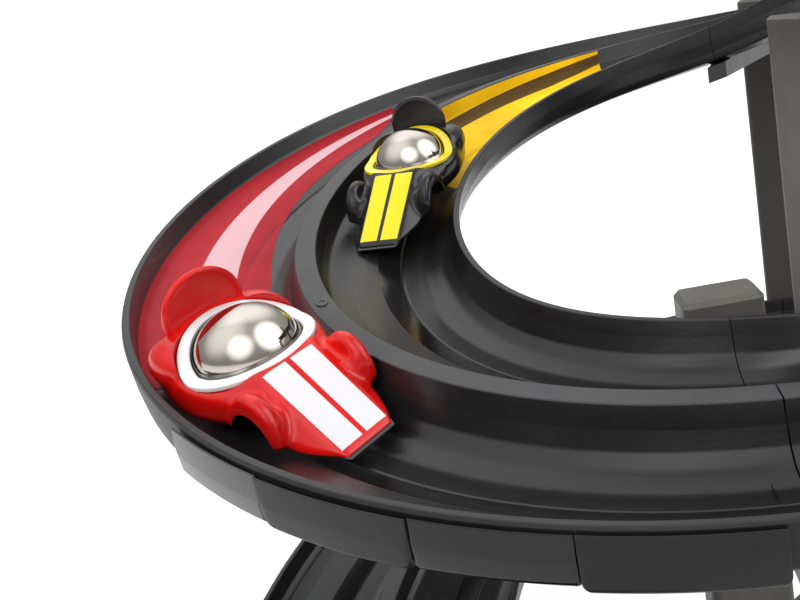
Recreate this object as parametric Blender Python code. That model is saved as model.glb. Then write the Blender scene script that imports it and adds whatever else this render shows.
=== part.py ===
# Two-lane spiral car ramp toy with two ball-driven cars, as separate pieces.
# All sizes below are millimetres and degrees; MM turns them into Blender's metres.
# The origin is the centre of the footprint, on the floor. +Z is up.
# Round the helix, an angle grows counter-clockwise seen from above, and the track falls with it.

import math

import bmesh
import bpy
from mathutils import Matrix, Vector

MM = 0.001
GAP = 0.3

# Helix of the outer rim
OUTER_RADIUS = 178.0
TURN_DROP = 165.0
END_ANGLE = 540.0
RIM_HEIGHT = 194.0
RIM_ANGLE = 198.0
WAVE_HEIGHT = 5.51
WAVE_ANGLE = 36.8
BANK_RISE = 8.53
BANK_ANGLE = 200.0
STEP_ANGLE = 10.0

# Straights at the start and the finish
START_LENGTH = 115.0
START_SLOPE = 0.07
START_EASE = 30.0
FINISH_LENGTH = 190.0
FINISH_EASE = 80.0

# Track section: two lanes side by side between an outer and an inner rim
RIM_WIDTH = 2.1
LANE_WIDTH = 45.0
DIVIDER_WIDTH = 6.4
DIVIDER_RISE = 0.66
FLOOR_THICKNESS = 2.0
SEAM_GAP = 0.3

# Track seams, as angles round the helix
SEAM_1 = 45.0
SEAM_2 = 253.0
SEAM_3 = 405.0

# Trim panels on the outer wall: first angle, last angle, how far each stands proud, how far it hangs
PANELS = (
    ("side_panel_1", 200.75, 211.5, 1.0, 0.0),
    ("side_panel_2", 211.5, 224.25, 1.5, 0.2),
    ("side_panel_3", 224.25, 235.25, 1.0, 0.0),
    ("side_panel_4", 235.25, 248.5, 1.0, 1.2),
)
PANEL_THICKNESS = 0.8
PANEL_STEP = 2.5

# Printed trails stuck in the lanes
DECAL_THICKNESS = 0.2
RED_TRAIL = (102.0, 189.0)
YELLOW_TRAIL = (77.0, 134.0)

# Columns and masts
COLUMN_DEPTH = 18.0
COLUMN_WIDTH = 22.0
MAST_WIDTH = 26.0
COLUMN_CORNER = 3.0
OUTER_COLUMN_RADIUS = 190.0
INNER_MAST_RADIUS = 66.0
REAR_COLUMN_ANGLE = 45.0
FRONT_COLUMN_ANGLE = 315.0
FRONT_MAST_ANGLE = 253.0
RIGHT_MAST_ANGLE = 0.0
FOOT_FLARE = 11.0
FOOT_HEIGHT = 14.0
FOOT_FLOOR = 4.0
SADDLE_HALF_ANGLE = 3.0
SADDLE_BASE = -26.0
SADDLE_GAP = 0.5
LEG_ANGLE = 505.0

# Start gate
GATE_DISTANCE = 14.0
GATE_AXIS_HEIGHT = 32.0
GATE_SHAFT_RADIUS = 2.3
GATE_PADDLE_WIDTH = 26.0
GATE_PADDLE_THICKNESS = 2.4
GATE_PADDLE_FOOT = -5.0
GATE_LEVER_LENGTH = 30.0
POST_THICKNESS = 4.0
POST_WIDTH = 16.0
BACK_WALL_THICKNESS = 3.0
BACK_WALL_RISE = 12.0
STOP_RISE = 5.0

# Cars: x forward, y towards the helix axis, z up, from the ball's centre
BALL_RADIUS = 13.4
BALL_CLEARANCE = 0.5
CAR_NOSE = 44.0
CAR_TAIL = -26.5
RING_BAND = 2.6
RING_THICKNESS = 1.5
SPOILER_RADIUS = 11.0
SPOILER_THICKNESS = 2.2
CARS = {
    "red": {"angle": 194.8, "radius": 153.7, "height": 1.3, "yaw": 15.0, "pitch": 10.1, "roll": 12.0},
    "black": {"angle": 142.1, "radius": 101.1, "height": 2.3, "yaw": 3.4, "pitch": 16.4, "roll": 2.0},
}

# Reach of the toy from the helix axis, which puts the origin at the centre of the footprint
GATE_LEVER_WIDTH = 5.0
POST_FACE = OUTER_RADIUS + 0.4
LEVER_REACH = POST_FACE + POST_THICKNESS + 1.0 + GATE_LEVER_WIDTH
STOP_THICKNESS = 3.0
FINISH_REACH = FINISH_LENGTH + GAP + STOP_THICKNESS
HELIX_X = (OUTER_RADIUS - LEVER_REACH) / 2
HELIX_Y = (FINISH_REACH - OUTER_RADIUS) / 2

RIM_INNER_RADIUS = OUTER_RADIUS - RIM_WIDTH
DIVIDER_OUTER = RIM_INNER_RADIUS - LANE_WIDTH
DIVIDER_INNER = DIVIDER_OUTER - DIVIDER_WIDTH
INNER_RIM_OUTER = DIVIDER_INNER - LANE_WIDTH
INNER_RADIUS = INNER_RIM_OUTER - RIM_WIDTH


# Scene and materials

def clear_scene():
    for old in list(bpy.data.objects):
        bpy.data.objects.remove(old, do_unlink=True)


def material(name, colour, roughness, metallic=0.0):
    made = bpy.data.materials.get(name) or bpy.data.materials.new(name)
    made.use_nodes = True
    shader = made.node_tree.nodes["Principled BSDF"]
    shader.inputs["Base Color"].default_value = (*colour, 1.0)
    shader.inputs["Roughness"].default_value = roughness
    shader.inputs["Metallic"].default_value = metallic
    made.diffuse_color = (*colour, 1.0)
    return made


def track_plastic():
    return material("track_plastic", (0.022, 0.022, 0.024), 0.38)


def trim_plastic():
    return material("trim_plastic", (0.05, 0.05, 0.054), 0.3)


def column_plastic():
    return material("column_plastic", (0.09, 0.09, 0.085), 0.45)


def steel():
    return material("screw_steel", (0.55, 0.55, 0.56), 0.3, 1.0)


def chrome():
    return material("polished_ball", (0.82, 0.8, 0.77), 0.05, 1.0)


def car_paint(colour):
    paints = {"red": (0.75, 0.012, 0.012), "black": (0.016, 0.016, 0.018)}
    return material(colour + "_car_plastic", paints[colour], 0.2)


def ring_paint(colour):
    paints = {"red": (0.85, 0.85, 0.86), "black": (0.95, 0.72, 0.01)}
    return material(colour + "_car_ring", paints[colour], 0.3)


def chassis_plastic():
    return material("chassis_plastic", (0.03, 0.03, 0.032), 0.35)


# Mesh helpers

def add_object(name, bm, surface, parent=None, smooth_angle=35.0):
    bmesh.ops.recalc_face_normals(bm, faces=bm.faces)
    mesh = bpy.data.meshes.new(name)
    bm.to_mesh(mesh)
    bm.free()
    mesh.shade_smooth()
    mesh.set_sharp_from_angle(angle=math.radians(smooth_angle))
    mesh.materials.append(surface)
    made = bpy.data.objects.new(name, mesh)
    bpy.context.collection.objects.link(made)
    made.parent = parent
    return made


def loft_into(bm, rings):
    loops = [[bm.verts.new(Vector(point) * MM) for point in ring] for ring in rings]
    count = len(loops[0])
    for low, high in zip(loops, loops[1:]):
        for i in range(count):
            j = (i + 1) % count
            bm.faces.new((low[i], low[j], high[j], high[i]))
    bm.faces.new(list(reversed(loops[0])))
    bm.faces.new(loops[-1])


def loft(name, rings, surface, parent=None, smooth_angle=35.0):
    bm = bmesh.new()
    loft_into(bm, rings)
    bmesh.ops.triangulate(bm, faces=bm.faces)
    return add_object(name, bm, surface, parent, smooth_angle)


def loft_skin(name, rings, surface):
    # A thin skin: each ring runs along its inside and then back along its outside
    bm = bmesh.new()
    loft_into(bm, rings)
    bmesh.ops.delete(bm, geom=[face for face in bm.faces if len(face.verts) > 4], context="FACES_ONLY")
    bm.verts.ensure_lookup_table()
    count = len(rings[0])
    for start in (0, len(bm.verts) - count):
        for i in range(count // 2 - 1):
            corners = (i, i + 1, count - 2 - i, count - 1 - i)
            bm.faces.new([bm.verts[start + k] for k in corners])
    bmesh.ops.triangulate(bm, faces=bm.faces)
    return add_object(name, bm, surface)


def hide_cutter(cutter):
    cutter.hide_render = True
    cutter.display_type = "WIRE"
    return cutter


def boolean(target, tool, operation):
    hide_cutter(tool)
    modifier = target.modifiers.new(tool.name, "BOOLEAN")
    modifier.operation = operation
    modifier.solver = "EXACT"
    modifier.object = tool


def rounded_rectangle(half_x, half_y, corner, steps=3):
    points = []
    for quarter in range(4):
        sign_x = (1, -1, -1, 1)[quarter]
        sign_y = (1, 1, -1, -1)[quarter]
        centre = (sign_x * (half_x - corner), sign_y * (half_y - corner))
        for step in range(steps + 1):
            turn = math.radians(90.0 * quarter + 90.0 * step / steps)
            points.append((centre[0] + corner * math.cos(turn), centre[1] + corner * math.sin(turn)))
    return points


def circle(radius, count):
    return [(radius * math.cos(math.tau * i / count), radius * math.sin(math.tau * i / count))
            for i in range(count)]


def rod(name, start, end, radius, surface, count=16, parent=None):
    start, end = Vector(start), Vector(end)
    turn = (end - start).to_track_quat("Z", "Y")
    rings = [[tuple(at + turn @ Vector((x, y, 0.0))) for x, y in circle(radius, count)]
             for at in (start, end)]
    return loft(name, rings, surface, parent)


# Track surface

def smooth(t):
    t = min(max(t, 0.0), 1.0)
    return t * t * (3.0 - 2.0 * t)


def free_rim_height(angle):
    fall = TURN_DROP * (angle - RIM_ANGLE) / 360.0
    wave = WAVE_HEIGHT * math.cos(math.radians(2.0 * angle - WAVE_ANGLE))
    return RIM_HEIGHT - fall - wave


def rim_height(angle):
    if angle >= START_EASE:
        return free_rim_height(angle)
    # Near the start the fall eases to the start deck's slope
    middle = (OUTER_RADIUS + INNER_RADIUS) / 2
    rate_here = free_rim_height(START_EASE + 0.5) - free_rim_height(START_EASE - 0.5)
    rate_start = -START_SLOPE * middle * math.radians(1.0)
    back = angle - START_EASE
    bend = (rate_here - rate_start) / START_EASE
    return free_rim_height(START_EASE) + rate_here * back + 0.5 * bend * back * back


def bank(angle, radius):
    share = smooth(angle / START_EASE)
    turn = math.sin(math.radians(angle - BANK_ANGLE))
    return share * BANK_RISE * turn * (OUTER_RADIUS - radius) / 100.0


def on_helix(angle, radius, height):
    turn = math.radians(angle)
    z = rim_height(angle) + bank(angle, radius) + height
    return (HELIX_X + radius * math.cos(turn), HELIX_Y + radius * math.sin(turn), z)


def on_facets(angle, radius, height):
    # A point on the straight facets between the upper track's stations, for what lies on them
    marks = upper_stations()
    low = max(mark for mark in marks[:-1] if mark <= angle)
    high = marks[marks.index(low) + 1]
    share = (angle - low) / (high - low)
    first, second = Vector(on_helix(low, radius, height)), Vector(on_helix(high, radius, height))
    return tuple(first.lerp(second, share))


def on_start(distance, radius, height):
    z = rim_height(0.0) + START_SLOPE * distance + height
    return (HELIX_X + radius, HELIX_Y - distance, z)


def on_finish(distance, radius, height):
    # The fall at the helix's end eases to level along the run-out
    middle = (OUTER_RADIUS + INNER_RADIUS) / 2
    rate = (rim_height(END_ANGLE + 0.5) - rim_height(END_ANGLE - 0.5)) / (middle * math.radians(1.0))
    along = min(distance, FINISH_EASE)
    fall = rate * (along - along * along / (2.0 * FINISH_EASE))
    level = bank(END_ANGLE, radius) * (1.0 - smooth(distance / FINISH_EASE))
    z = rim_height(END_ANGLE) + fall + level + height
    return (HELIX_X - radius, HELIX_Y - distance, z)


# Lane floor: distance in from the lane's outer edge, and height from that edge
LANE_FLOOR = (
    (1.2, -6.5), (3.0, -8.5), (9.0, -10.5), (18.5, -12.5), (26.0, -15.0),
    (34.0, -16.8), (40.0, -14.5), (42.7, -11.0), (44.0, -6.0),
)
# Underside below the floor, in the same terms
LANE_UNDERSIDE = ((9.5, -12.6), (18.8, -14.6), (26.3, -17.1), (34.0, -18.9), (41.0, -16.4))


def track_top():
    edge = 0.5
    outline = [(OUTER_RADIUS, -1.2), (OUTER_RADIUS - edge, 0.0), (RIM_INNER_RADIUS, 0.0)]
    outline += [(RIM_INNER_RADIUS - d, z) for d, z in LANE_FLOOR]
    outline += [(DIVIDER_OUTER, 0.0), (DIVIDER_INNER, DIVIDER_RISE)]
    outline += [(DIVIDER_INNER - d, z + DIVIDER_RISE) for d, z in LANE_FLOOR]
    outline += [(INNER_RIM_OUTER, -DIVIDER_RISE), (INNER_RADIUS, -DIVIDER_RISE)]
    return outline


def track_underside():
    # From the hole side back to the outer wall's rounded lower corner
    wall = FLOOR_THICKNESS
    outline = [(INNER_RADIUS + 0.6, -7.0), (INNER_RADIUS + 3.0, -12.8), (INNER_RADIUS + 6.5, -16.6)]
    outline += [(DIVIDER_INNER - d, z + DIVIDER_RISE) for d, z in reversed(LANE_UNDERSIDE[:4])]
    outline += [(DIVIDER_INNER - wall, -8.4), (DIVIDER_INNER + 0.6, -1.6)]
    outline += [(DIVIDER_OUTER - 0.8, -2.2), (DIVIDER_OUTER - 0.2, -11.0)]
    outline += [(RIM_INNER_RADIUS - d, z) for d, z in reversed(LANE_UNDERSIDE)]
    outline += [(OUTER_RADIUS - 5.5, -12.0), (OUTER_RADIUS - 3.4, -12.9), (OUTER_RADIUS - 2.5, -12.2)]
    outline += [(OUTER_RADIUS - 1.4, -7.5)]
    return outline


def sweep(name, place, stations, outline, surface, smooth_angle=24.0):
    rings = [[place(at, radius, height) for radius, height in outline] for at in stations]
    return loft(name, rings, surface, None, smooth_angle)


def stations(first, last, step):
    count = max(1, round(abs(last - first) / step))
    return [first + (last - first) * i / count for i in range(count + 1)]


def seam_angle():
    return math.degrees(SEAM_GAP / INNER_RADIUS) / 2


def upper_stations():
    half = seam_angle()
    return stations(SEAM_1 + half, SEAM_2 - half, STEP_ANGLE)


def facet_stations(first, last):
    return [first] + [mark for mark in upper_stations() if first < mark < last] + [last]


def panel_stations(first, last):
    # Facet stations with short steps between them, so that the thin walls don't twist into each other
    marks = facet_stations(first, last)
    result = marks[:1]
    for low, high in zip(marks, marks[1:]):
        result += stations(low, high, PANEL_STEP)[1:]
    return result


def path_sweep(name, runs, outline, surface, smooth_angle=24.0):
    # A piece may follow the straight start and the helix in turn
    rings = []
    for place, marks in runs:
        rings += [[place(at, radius, height) for radius, height in outline] for at in marks]
    return loft(name, rings, surface, None, smooth_angle)


def build_track():
    outline = track_top() + track_underside()
    half = seam_angle()
    black = track_plastic()
    path_sweep(
        "start_deck",
        ((on_start, (START_LENGTH, START_LENGTH / 2)), (on_helix, stations(0.0, SEAM_1 - half, STEP_ANGLE))),
        outline, black)
    sweep("track_upper", on_helix, upper_stations(), outline, black)
    sweep("track_middle", on_helix, stations(SEAM_2 + half, SEAM_3 - half, STEP_ANGLE), outline, black)
    sweep("track_lower", on_helix, stations(SEAM_3 + half, END_ANGLE, STEP_ANGLE), outline, black)
    marks = [SEAM_GAP] + [FINISH_EASE * i / 4 for i in range(1, 5)] + [FINISH_LENGTH]
    sweep("finish_run", on_finish, marks, outline, black)


def build_side_panels():
    for name, first, last, proud, hang in PANELS:
        inside = OUTER_RADIUS + proud - PANEL_THICKNESS
        outside = OUTER_RADIUS + proud
        bottom = -12.6 - hang
        outline = [(outside, -1.4), (outside - 0.9, -7.6), (outside - 1.9, bottom + 1.0),
                   (outside - 2.6, bottom), (outside - 3.6, bottom - 0.6),
                   (outside - 4.4, bottom - 0.6 - PANEL_THICKNESS), (outside - 1.9 - 0.2, bottom - 0.9),
                   (outside - 0.9, bottom + 0.4), (outside + 0.1, -7.6), (outside + 0.8, -1.4)]
        outline = [(radius + inside - outside + GAP, height) for radius, height in outline]
        half = math.degrees(GAP / OUTER_RADIUS) / 2
        rings = [[on_facets(at, radius, height) for radius, height in outline]
                 for at in panel_stations(first + half, last - half)]
        loft_skin(name, rings, trim_plastic())


def offset_outline(points, distance):
    moved = []
    for i, point in enumerate(points):
        before = Vector(points[max(i - 1, 0)])
        after = Vector(points[min(i + 1, len(points) - 1)])
        along = (after - before).normalized()
        moved.append((point[0] + along.y * distance, point[1] - along.x * distance))
    return moved


def build_decal(name, lane_edge, edge_height, first_point, last_point, span, surface):
    line = [(lane_edge - d, z + edge_height) for d, z in LANE_FLOOR[first_point:last_point]]
    low = offset_outline(line, GAP)
    high = offset_outline(line, GAP + DECAL_THICKNESS)
    sweep(name, on_facets, facet_stations(span[0], span[1]), high + low[::-1], surface)


def build_decals():
    red = material("red_trail", (0.42, 0.03, 0.045), 0.3)
    yellow = material("yellow_trail", (0.8, 0.45, 0.01), 0.3)
    build_decal("red_trail_decal", RIM_INNER_RADIUS, 0.0, 0, 6, RED_TRAIL, red)
    build_decal("yellow_trail_decal", DIVIDER_INNER, DIVIDER_RISE, 0, 8, YELLOW_TRAIL, yellow)


# Columns, masts, feet and saddles

def upright(angle, radius):
    turn = math.radians(angle)
    out = Vector((math.cos(turn), math.sin(turn), 0.0))
    side = Vector((-math.sin(turn), math.cos(turn), 0.0))
    centre = Vector((HELIX_X, HELIX_Y, 0.0)) + out * radius
    return centre, out, side


def upright_ring(angle, radius, half_depth, half_width, corner, z):
    centre, out, side = upright(angle, radius)
    outline = rounded_rectangle(half_depth, half_width, corner)
    return [tuple(centre + out * x + side * y + Vector((0.0, 0.0, z))) for x, y in outline]


def build_column(name, angle, radius, width, top):
    depth, half = COLUMN_DEPTH / 2, width / 2
    bevel = 1.5
    rings = [upright_ring(angle, radius, depth, half, COLUMN_CORNER, z)
             for z in (FOOT_FLOOR + GAP, top - bevel)]
    rings.append(upright_ring(angle, radius, depth - bevel, half - bevel, COLUMN_CORNER - bevel, top))
    loft(name, rings, column_plastic())
    socket = GAP
    foot = [
        upright_ring(angle, radius, depth + FOOT_FLARE, half + FOOT_FLARE, COLUMN_CORNER + 3.0, 0.0),
        upright_ring(angle, radius, depth + FOOT_FLARE, half + FOOT_FLARE, COLUMN_CORNER + 3.0, FOOT_FLOOR),
        upright_ring(angle, radius, depth + 3.0, half + 3.0, COLUMN_CORNER + 1.5, FOOT_HEIGHT),
        upright_ring(angle, radius, depth + socket, half + socket, COLUMN_CORNER, FOOT_HEIGHT),
        upright_ring(angle, radius, depth + socket, half + socket, COLUMN_CORNER, FOOT_FLOOR),
    ]
    loft(name + "_foot", foot, column_plastic())


def saddle_top():
    low = SADDLE_GAP
    line = [(OUTER_RADIUS - 1.0, -14.4), (OUTER_RADIUS - 9.0, -14.0)]
    line += [(RIM_INNER_RADIUS - d, z - low) for d, z in LANE_UNDERSIDE[1:]]
    line += [(DIVIDER_OUTER - 2.0, -16.4), (DIVIDER_INNER - 4.0, -13.4)]
    line += [(DIVIDER_INNER - d, z + DIVIDER_RISE - low) for d, z in LANE_UNDERSIDE[1:4]]
    line += [(INNER_RADIUS + 7.0, -18.9)]
    return line


def build_saddle(name, place, middle, half_span, outer_end, inner_end):
    top = [(outer_end, -15.0)] if outer_end > OUTER_RADIUS else []
    top += saddle_top()
    if inner_end < INNER_RADIUS:
        top.append((inner_end, -19.6))
    outline = top + [(top[-1][0], SADDLE_BASE), (top[0][0], SADDLE_BASE)]
    sweep(name, place, (middle - half_span, middle, middle + half_span), outline, column_plastic(), 30.0)


def build_supports():
    face_out = OUTER_COLUMN_RADIUS - COLUMN_DEPTH / 2 - GAP
    face_in = INNER_MAST_RADIUS + COLUMN_DEPTH / 2 + GAP
    half = SADDLE_HALF_ANGLE
    rim = OUTER_RADIUS
    build_column("rear_column", REAR_COLUMN_ANGLE, OUTER_COLUMN_RADIUS, COLUMN_WIDTH,
                 rim_height(REAR_COLUMN_ANGLE) + 4.0)
    build_saddle("rear_saddle_upper", on_helix, REAR_COLUMN_ANGLE, half, face_out, rim)
    build_saddle("rear_saddle_lower", on_helix, REAR_COLUMN_ANGLE + 360.0, half, face_out, rim)
    shelf_top = on_start(START_LENGTH - 20.0, OUTER_RADIUS, LANE_UNDERSIDE[3][1])[2] - SADDLE_GAP
    shelf_thickness = 4.0
    build_column("front_column", FRONT_COLUMN_ANGLE, OUTER_COLUMN_RADIUS, COLUMN_WIDTH,
                 shelf_top - shelf_thickness - GAP)
    build_saddle("front_saddle", on_helix, FRONT_COLUMN_ANGLE, half, face_out, rim)
    build_column("front_mast", FRONT_MAST_ANGLE, INNER_MAST_RADIUS, MAST_WIDTH,
                 on_helix(FRONT_MAST_ANGLE, INNER_MAST_RADIUS, 3.0)[2])
    build_saddle("front_mast_saddle", on_helix, FRONT_MAST_ANGLE, half, 0.0, face_in)
    build_column("right_mast", RIGHT_MAST_ANGLE, INNER_MAST_RADIUS, MAST_WIDTH,
                 on_helix(RIGHT_MAST_ANGLE, INNER_MAST_RADIUS, -14.0)[2])
    build_saddle("right_mast_saddle_upper", on_start, 8.0, 6.0, 0.0, face_in)
    build_saddle("right_mast_saddle_lower", on_helix, RIGHT_MAST_ANGLE + 360.0, half, 0.0, face_in)
    build_shelf(shelf_top, shelf_thickness)
    build_leg()
    build_finish_feet()


def build_shelf(top, thickness):
    # The plate on the front column's head carries the back of the start deck
    centre, _, _ = upright(FRONT_COLUMN_ANGLE, OUTER_COLUMN_RADIUS)
    near = on_start(START_LENGTH - 18.0, 0.0, 0.0)[1]
    far = centre.y - COLUMN_DEPTH / 2
    middle = Vector((centre.x, (near + far) / 2, 0.0))
    outline = rounded_rectangle(40.0, (near - far) / 2, 6.0)
    rings = [[tuple(middle + Vector((x, y, z))) for x, y in outline] for z in (top - thickness, top)]
    loft("start_shelf", rings, column_plastic())


def build_leg():
    # A short leg below the lower turn, under the outer lane's deepest line
    radius = RIM_INNER_RADIUS - LANE_UNDERSIDE[3][0]
    half_width, half_depth = 5.0, 4.0
    low = on_helix(LEG_ANGLE + 2.0, radius, LANE_UNDERSIDE[3][1] - GAP)[2]
    rings = [upright_ring(LEG_ANGLE, radius, half_depth + flare, half_width + flare, 3.0, z)
             for flare, z in ((12.0, 0.0), (12.0, 3.0), (4.0, 8.0), (0.0, low))]
    loft("lower_leg", rings, column_plastic())


def build_finish_feet():
    places = [(distance, edge) for distance in (FINISH_EASE + 20.0, FINISH_LENGTH - 15.0)
              for edge in (RIM_INNER_RADIUS, DIVIDER_INNER)]
    for index, (distance, edge) in enumerate(places, 1):
        rise = DIVIDER_RISE if edge == DIVIDER_INNER else 0.0
        radius = edge - LANE_UNDERSIDE[3][0]
        x, y, z = on_finish(distance, radius, LANE_UNDERSIDE[3][1] + rise - GAP)
        outline = rounded_rectangle(6.0, 8.0, 2.0)
        rings = [[(x + a, y + b, low) for a, b in outline] for low in (0.0, z)]
        loft("finish_foot_%d" % index, rings, chassis_plastic())


# Start gate, back wall and finish stop

def build_plate_across(name, place, first, last, rise, base):
    inner, outer = INNER_RADIUS, OUTER_RADIUS
    corner = 6.0
    outline = [(outer, base), (outer, rise - corner), (outer - corner * 0.3, rise - corner * 0.3),
               (outer - corner, rise), (inner + corner, rise), (inner + corner * 0.3, rise - corner * 0.3),
               (inner, rise - corner), (inner, base)]
    sweep(name, place, (first, last), outline, trim_plastic(), 30.0)


def build_start():
    build_plate_across("start_back_wall", on_start, START_LENGTH + GAP,
                       START_LENGTH + GAP + BACK_WALL_THICKNESS, BACK_WALL_RISE, -13.0)
    build_plate_across("finish_stop", on_finish, FINISH_LENGTH + GAP, FINISH_REACH, STOP_RISE, -18.0)
    build_gate_posts()
    build_gate()


def build_gate_posts():
    axis = Vector(on_start(GATE_DISTANCE, 0.0, GATE_AXIS_HEIGHT))
    half = POST_WIDTH / 2
    for name, near in (("gate_post_outer", POST_FACE),
                       ("gate_post_inner", INNER_RADIUS - 0.4 - POST_THICKNESS)):
        outline = [(-half, -43.0), (half, -43.0)]
        outline += [(half * math.cos(math.pi * i / 10), half * math.sin(math.pi * i / 10))
                    for i in range(11)]
        rings = [[(HELIX_X + x, axis.y + y, axis.z + z) for y, z in outline]
                 for x in (near, near + POST_THICKNESS)]
        post = loft(name, rings, trim_plastic())
        ends = [(HELIX_X + near + shift, axis.y, axis.z) for shift in (-5.0, POST_THICKNESS + 5.0)]
        boolean(post, rod(name + "_bore", ends[0], ends[1], GATE_SHAFT_RADIUS + GAP, steel(), 20), "DIFFERENCE")


def build_gate():
    axis = Vector(on_start(GATE_DISTANCE, 0.0, GATE_AXIS_HEIGHT))
    orange = material("gate_plastic", (0.8, 0.16, 0.01), 0.35)
    pivot = bpy.data.objects.new("gate_pivot", None)
    pivot.location = axis * MM
    bpy.context.collection.objects.link(pivot)
    inner_end = INNER_RADIUS - 0.4 - POST_THICKNESS - 1.5
    gate = rod("start_gate", (inner_end, 0.0, 0.0), (LEVER_REACH, 0.0, 0.0),
               GATE_SHAFT_RADIUS, orange, 16, pivot)
    thick = GATE_PADDLE_THICKNESS / 2
    reach = GATE_AXIS_HEIGHT - GATE_PADDLE_FOOT
    for index, edge in enumerate((RIM_INNER_RADIUS, DIVIDER_INNER)):
        middle = edge - LANE_WIDTH / 2
        outline = rounded_rectangle(GATE_PADDLE_WIDTH / 2, reach / 2, 4.0)
        rings = [[(middle + x, y, -reach / 2 + z) for x, z in outline] for y in (-thick, thick)]
        boolean(gate, loft("gate_paddle_%d" % index, rings, orange, pivot), "UNION")
    lever_start = LEVER_REACH - GATE_LEVER_WIDTH
    outline = rounded_rectangle(GATE_LEVER_LENGTH / 2, 4.0, 3.6)
    rings = [[(x, 4.0 - GATE_LEVER_LENGTH / 2 + y, z) for y, z in outline]
             for x in (lever_start, LEVER_REACH)]
    boolean(gate, loft("gate_lever", rings, orange, pivot), "UNION")


# Cars

def car_axis(car):
    # The travel hinge follows the lane's curve: its axis passes the curve's centre, square to its plane
    step = 2.0
    inset = OUTER_RADIUS - car["radius"]
    before, here, after = (Vector(on_helix(car["angle"] + turn, OUTER_RADIUS - inset, car["height"]))
                           for turn in (-step, 0.0, step))
    first, second = here - before, after - here
    along = (after - before) / 2
    bend = second - first
    normal = along.cross(bend).normalized()
    inward = normal.cross(along).normalized()
    radius = along.length_squared / bend.dot(inward)
    return here + inward * radius, normal


def car_frame(name, car):
    turn = math.radians(car["angle"])
    ahead = Vector((-math.sin(turn), math.cos(turn), 0.0))
    inward = Vector((-math.cos(turn), -math.sin(turn), 0.0))
    up = Vector((0.0, 0.0, 1.0))
    basis = Matrix((ahead, inward, up)).transposed()
    tilt = Matrix.Rotation(math.radians(car["yaw"]), 3, "Z")
    tilt = tilt @ Matrix.Rotation(math.radians(car["pitch"]), 3, "Y")
    tilt = tilt @ Matrix.Rotation(math.radians(car["roll"]), 3, "X")
    place = Matrix.Translation(Vector(on_helix(car["angle"], car["radius"], car["height"])) * MM)
    place = place @ (basis @ tilt).to_4x4()
    centre, _ = car_axis(car)
    pivot = bpy.data.objects.new(name + "_car_pivot", None)
    pivot.location = centre * MM
    frame = bpy.data.objects.new(name + "_car_frame", None)
    for empty in (pivot, frame):
        bpy.context.collection.objects.link(empty)
    frame.parent = pivot
    frame.matrix_local = Matrix.Translation(-centre * MM) @ place
    return frame


# Car body stations: x, half width, crown height, shoulder height, bottom height
BODY_STATIONS = (
    (CAR_TAIL, 9.0, 2.0, -1.0, -6.6),
    (-22.0, 12.0, 8.0, 2.5, -8.0),
    (-17.0, 14.4, 12.4, 4.0, -8.6),
    (-11.0, 16.4, 11.0, 4.4, -8.6),
    (-4.0, 18.0, 7.6, 4.2, -8.6),
    (5.0, 18.6, 5.2, 3.6, -8.6),
    (14.0, 16.4, 4.4, 2.2, -8.6),
    (20.0, 14.4, 2.6, -0.6, -8.6),
    (30.0, 11.6, -2.4, -4.6, -8.8),
    (38.0, 9.4, -6.5, -7.6, -9.4),
    (CAR_NOSE, 7.7, -9.0, -9.4, -10.0),
)
# Room inside the body: x, half width, top height
CAVITY_STATIONS = (
    (-22.0, 6.5, 2.0), (-17.0, 8.5, 5.0), (-12.0, 12.0, 5.5), (-7.0, 15.0, 4.0), (0.0, 16.4, 2.6),
    (7.0, 16.4, 1.8), (12.0, 13.5, 1.4), (17.0, 10.0, 0.9), (30.0, 8.2, -5.0), (38.0, 6.2, -8.6),
)
# Chassis plate: x, half width, top height, bottom height at the edge, bottom height in the middle
CHASSIS_STATIONS = (
    (-21.6, 6.0, -6.9, -8.2, -8.3), (-17.0, 8.0, -6.9, -8.2, -8.3), (-12.0, 11.2, -6.9, -8.2, -8.3),
    (-6.0, 13.2, -6.9, -8.2, -8.3), (6.0, 13.2, -6.9, -8.2, -8.3), (12.0, 11.5, -6.9, -8.2, -8.3),
    (17.0, 9.5, -6.9, -8.3, -8.4), (30.0, 7.7, -7.6, -9.0, -9.6), (36.5, 6.2, -9.8, -10.4, -11.4),
    (CAR_NOSE + 0.8, 6.0, -10.35, -10.8, -12.4),
)
# Fenders: label, centre, half sizes
FENDERS = (
    ("front_left", (23.5, 13.4, -1.6), (10.5, 5.8, 4.6)),
    ("front_right", (23.5, -13.4, -1.6), (10.5, 5.8, 4.6)),
    ("rear_left", (-17.0, 11.2, 2.0), (8.5, 4.9, 6.0)),
    ("rear_right", (-17.0, -11.2, 2.0), (8.5, 4.9, 6.0)),
)
# Wheel arches: label, x, inner face, radius
ARCHES = (
    ("front_left", 24.0, 11.0, 6.0), ("front_right", 24.0, -11.0, 6.0),
    ("rear_left", -17.5, 12.2, 5.6), ("rear_right", -17.5, -12.2, 5.6),
)
ARCH_HEIGHT = -8.0


def body_ring(x, half, crown, shoulder, bottom, grow=0.0):
    half, crown, shoulder = half + grow, crown + grow, shoulder + grow
    low = min(3.8, 0.5 * (shoulder - bottom))
    right = [(0.5 * half, bottom), (0.82 * half, bottom + 0.4 * low), (half, bottom + low),
             (0.985 * half, shoulder), (0.84 * half, shoulder + 0.8 * (crown - shoulder)), (0.45 * half, crown)]
    return mirrored(x, right)


def mirrored(x, right):
    return [(x, y, z) for y, z in right] + [(x, -y, z) for y, z in reversed(right)]


def ring_outline(inset, count=42):
    # Canopy ring from above: convex front edge, a point at each side, round back
    side, front, back, corner_x = 18.4, 12.2, 18.8, 4.0
    points = []
    for i in range(count):
        turn = math.tau * (i + 0.5) / count
        y = (side - inset * 1.25) * math.sin(turn)
        share = abs(math.cos(turn))
        if math.cos(turn) > 0:
            x = corner_x + (front - inset) * share ** 1.1
        else:
            x = corner_x - (back - inset) * share
        points.append((x, y))
    return points


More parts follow.
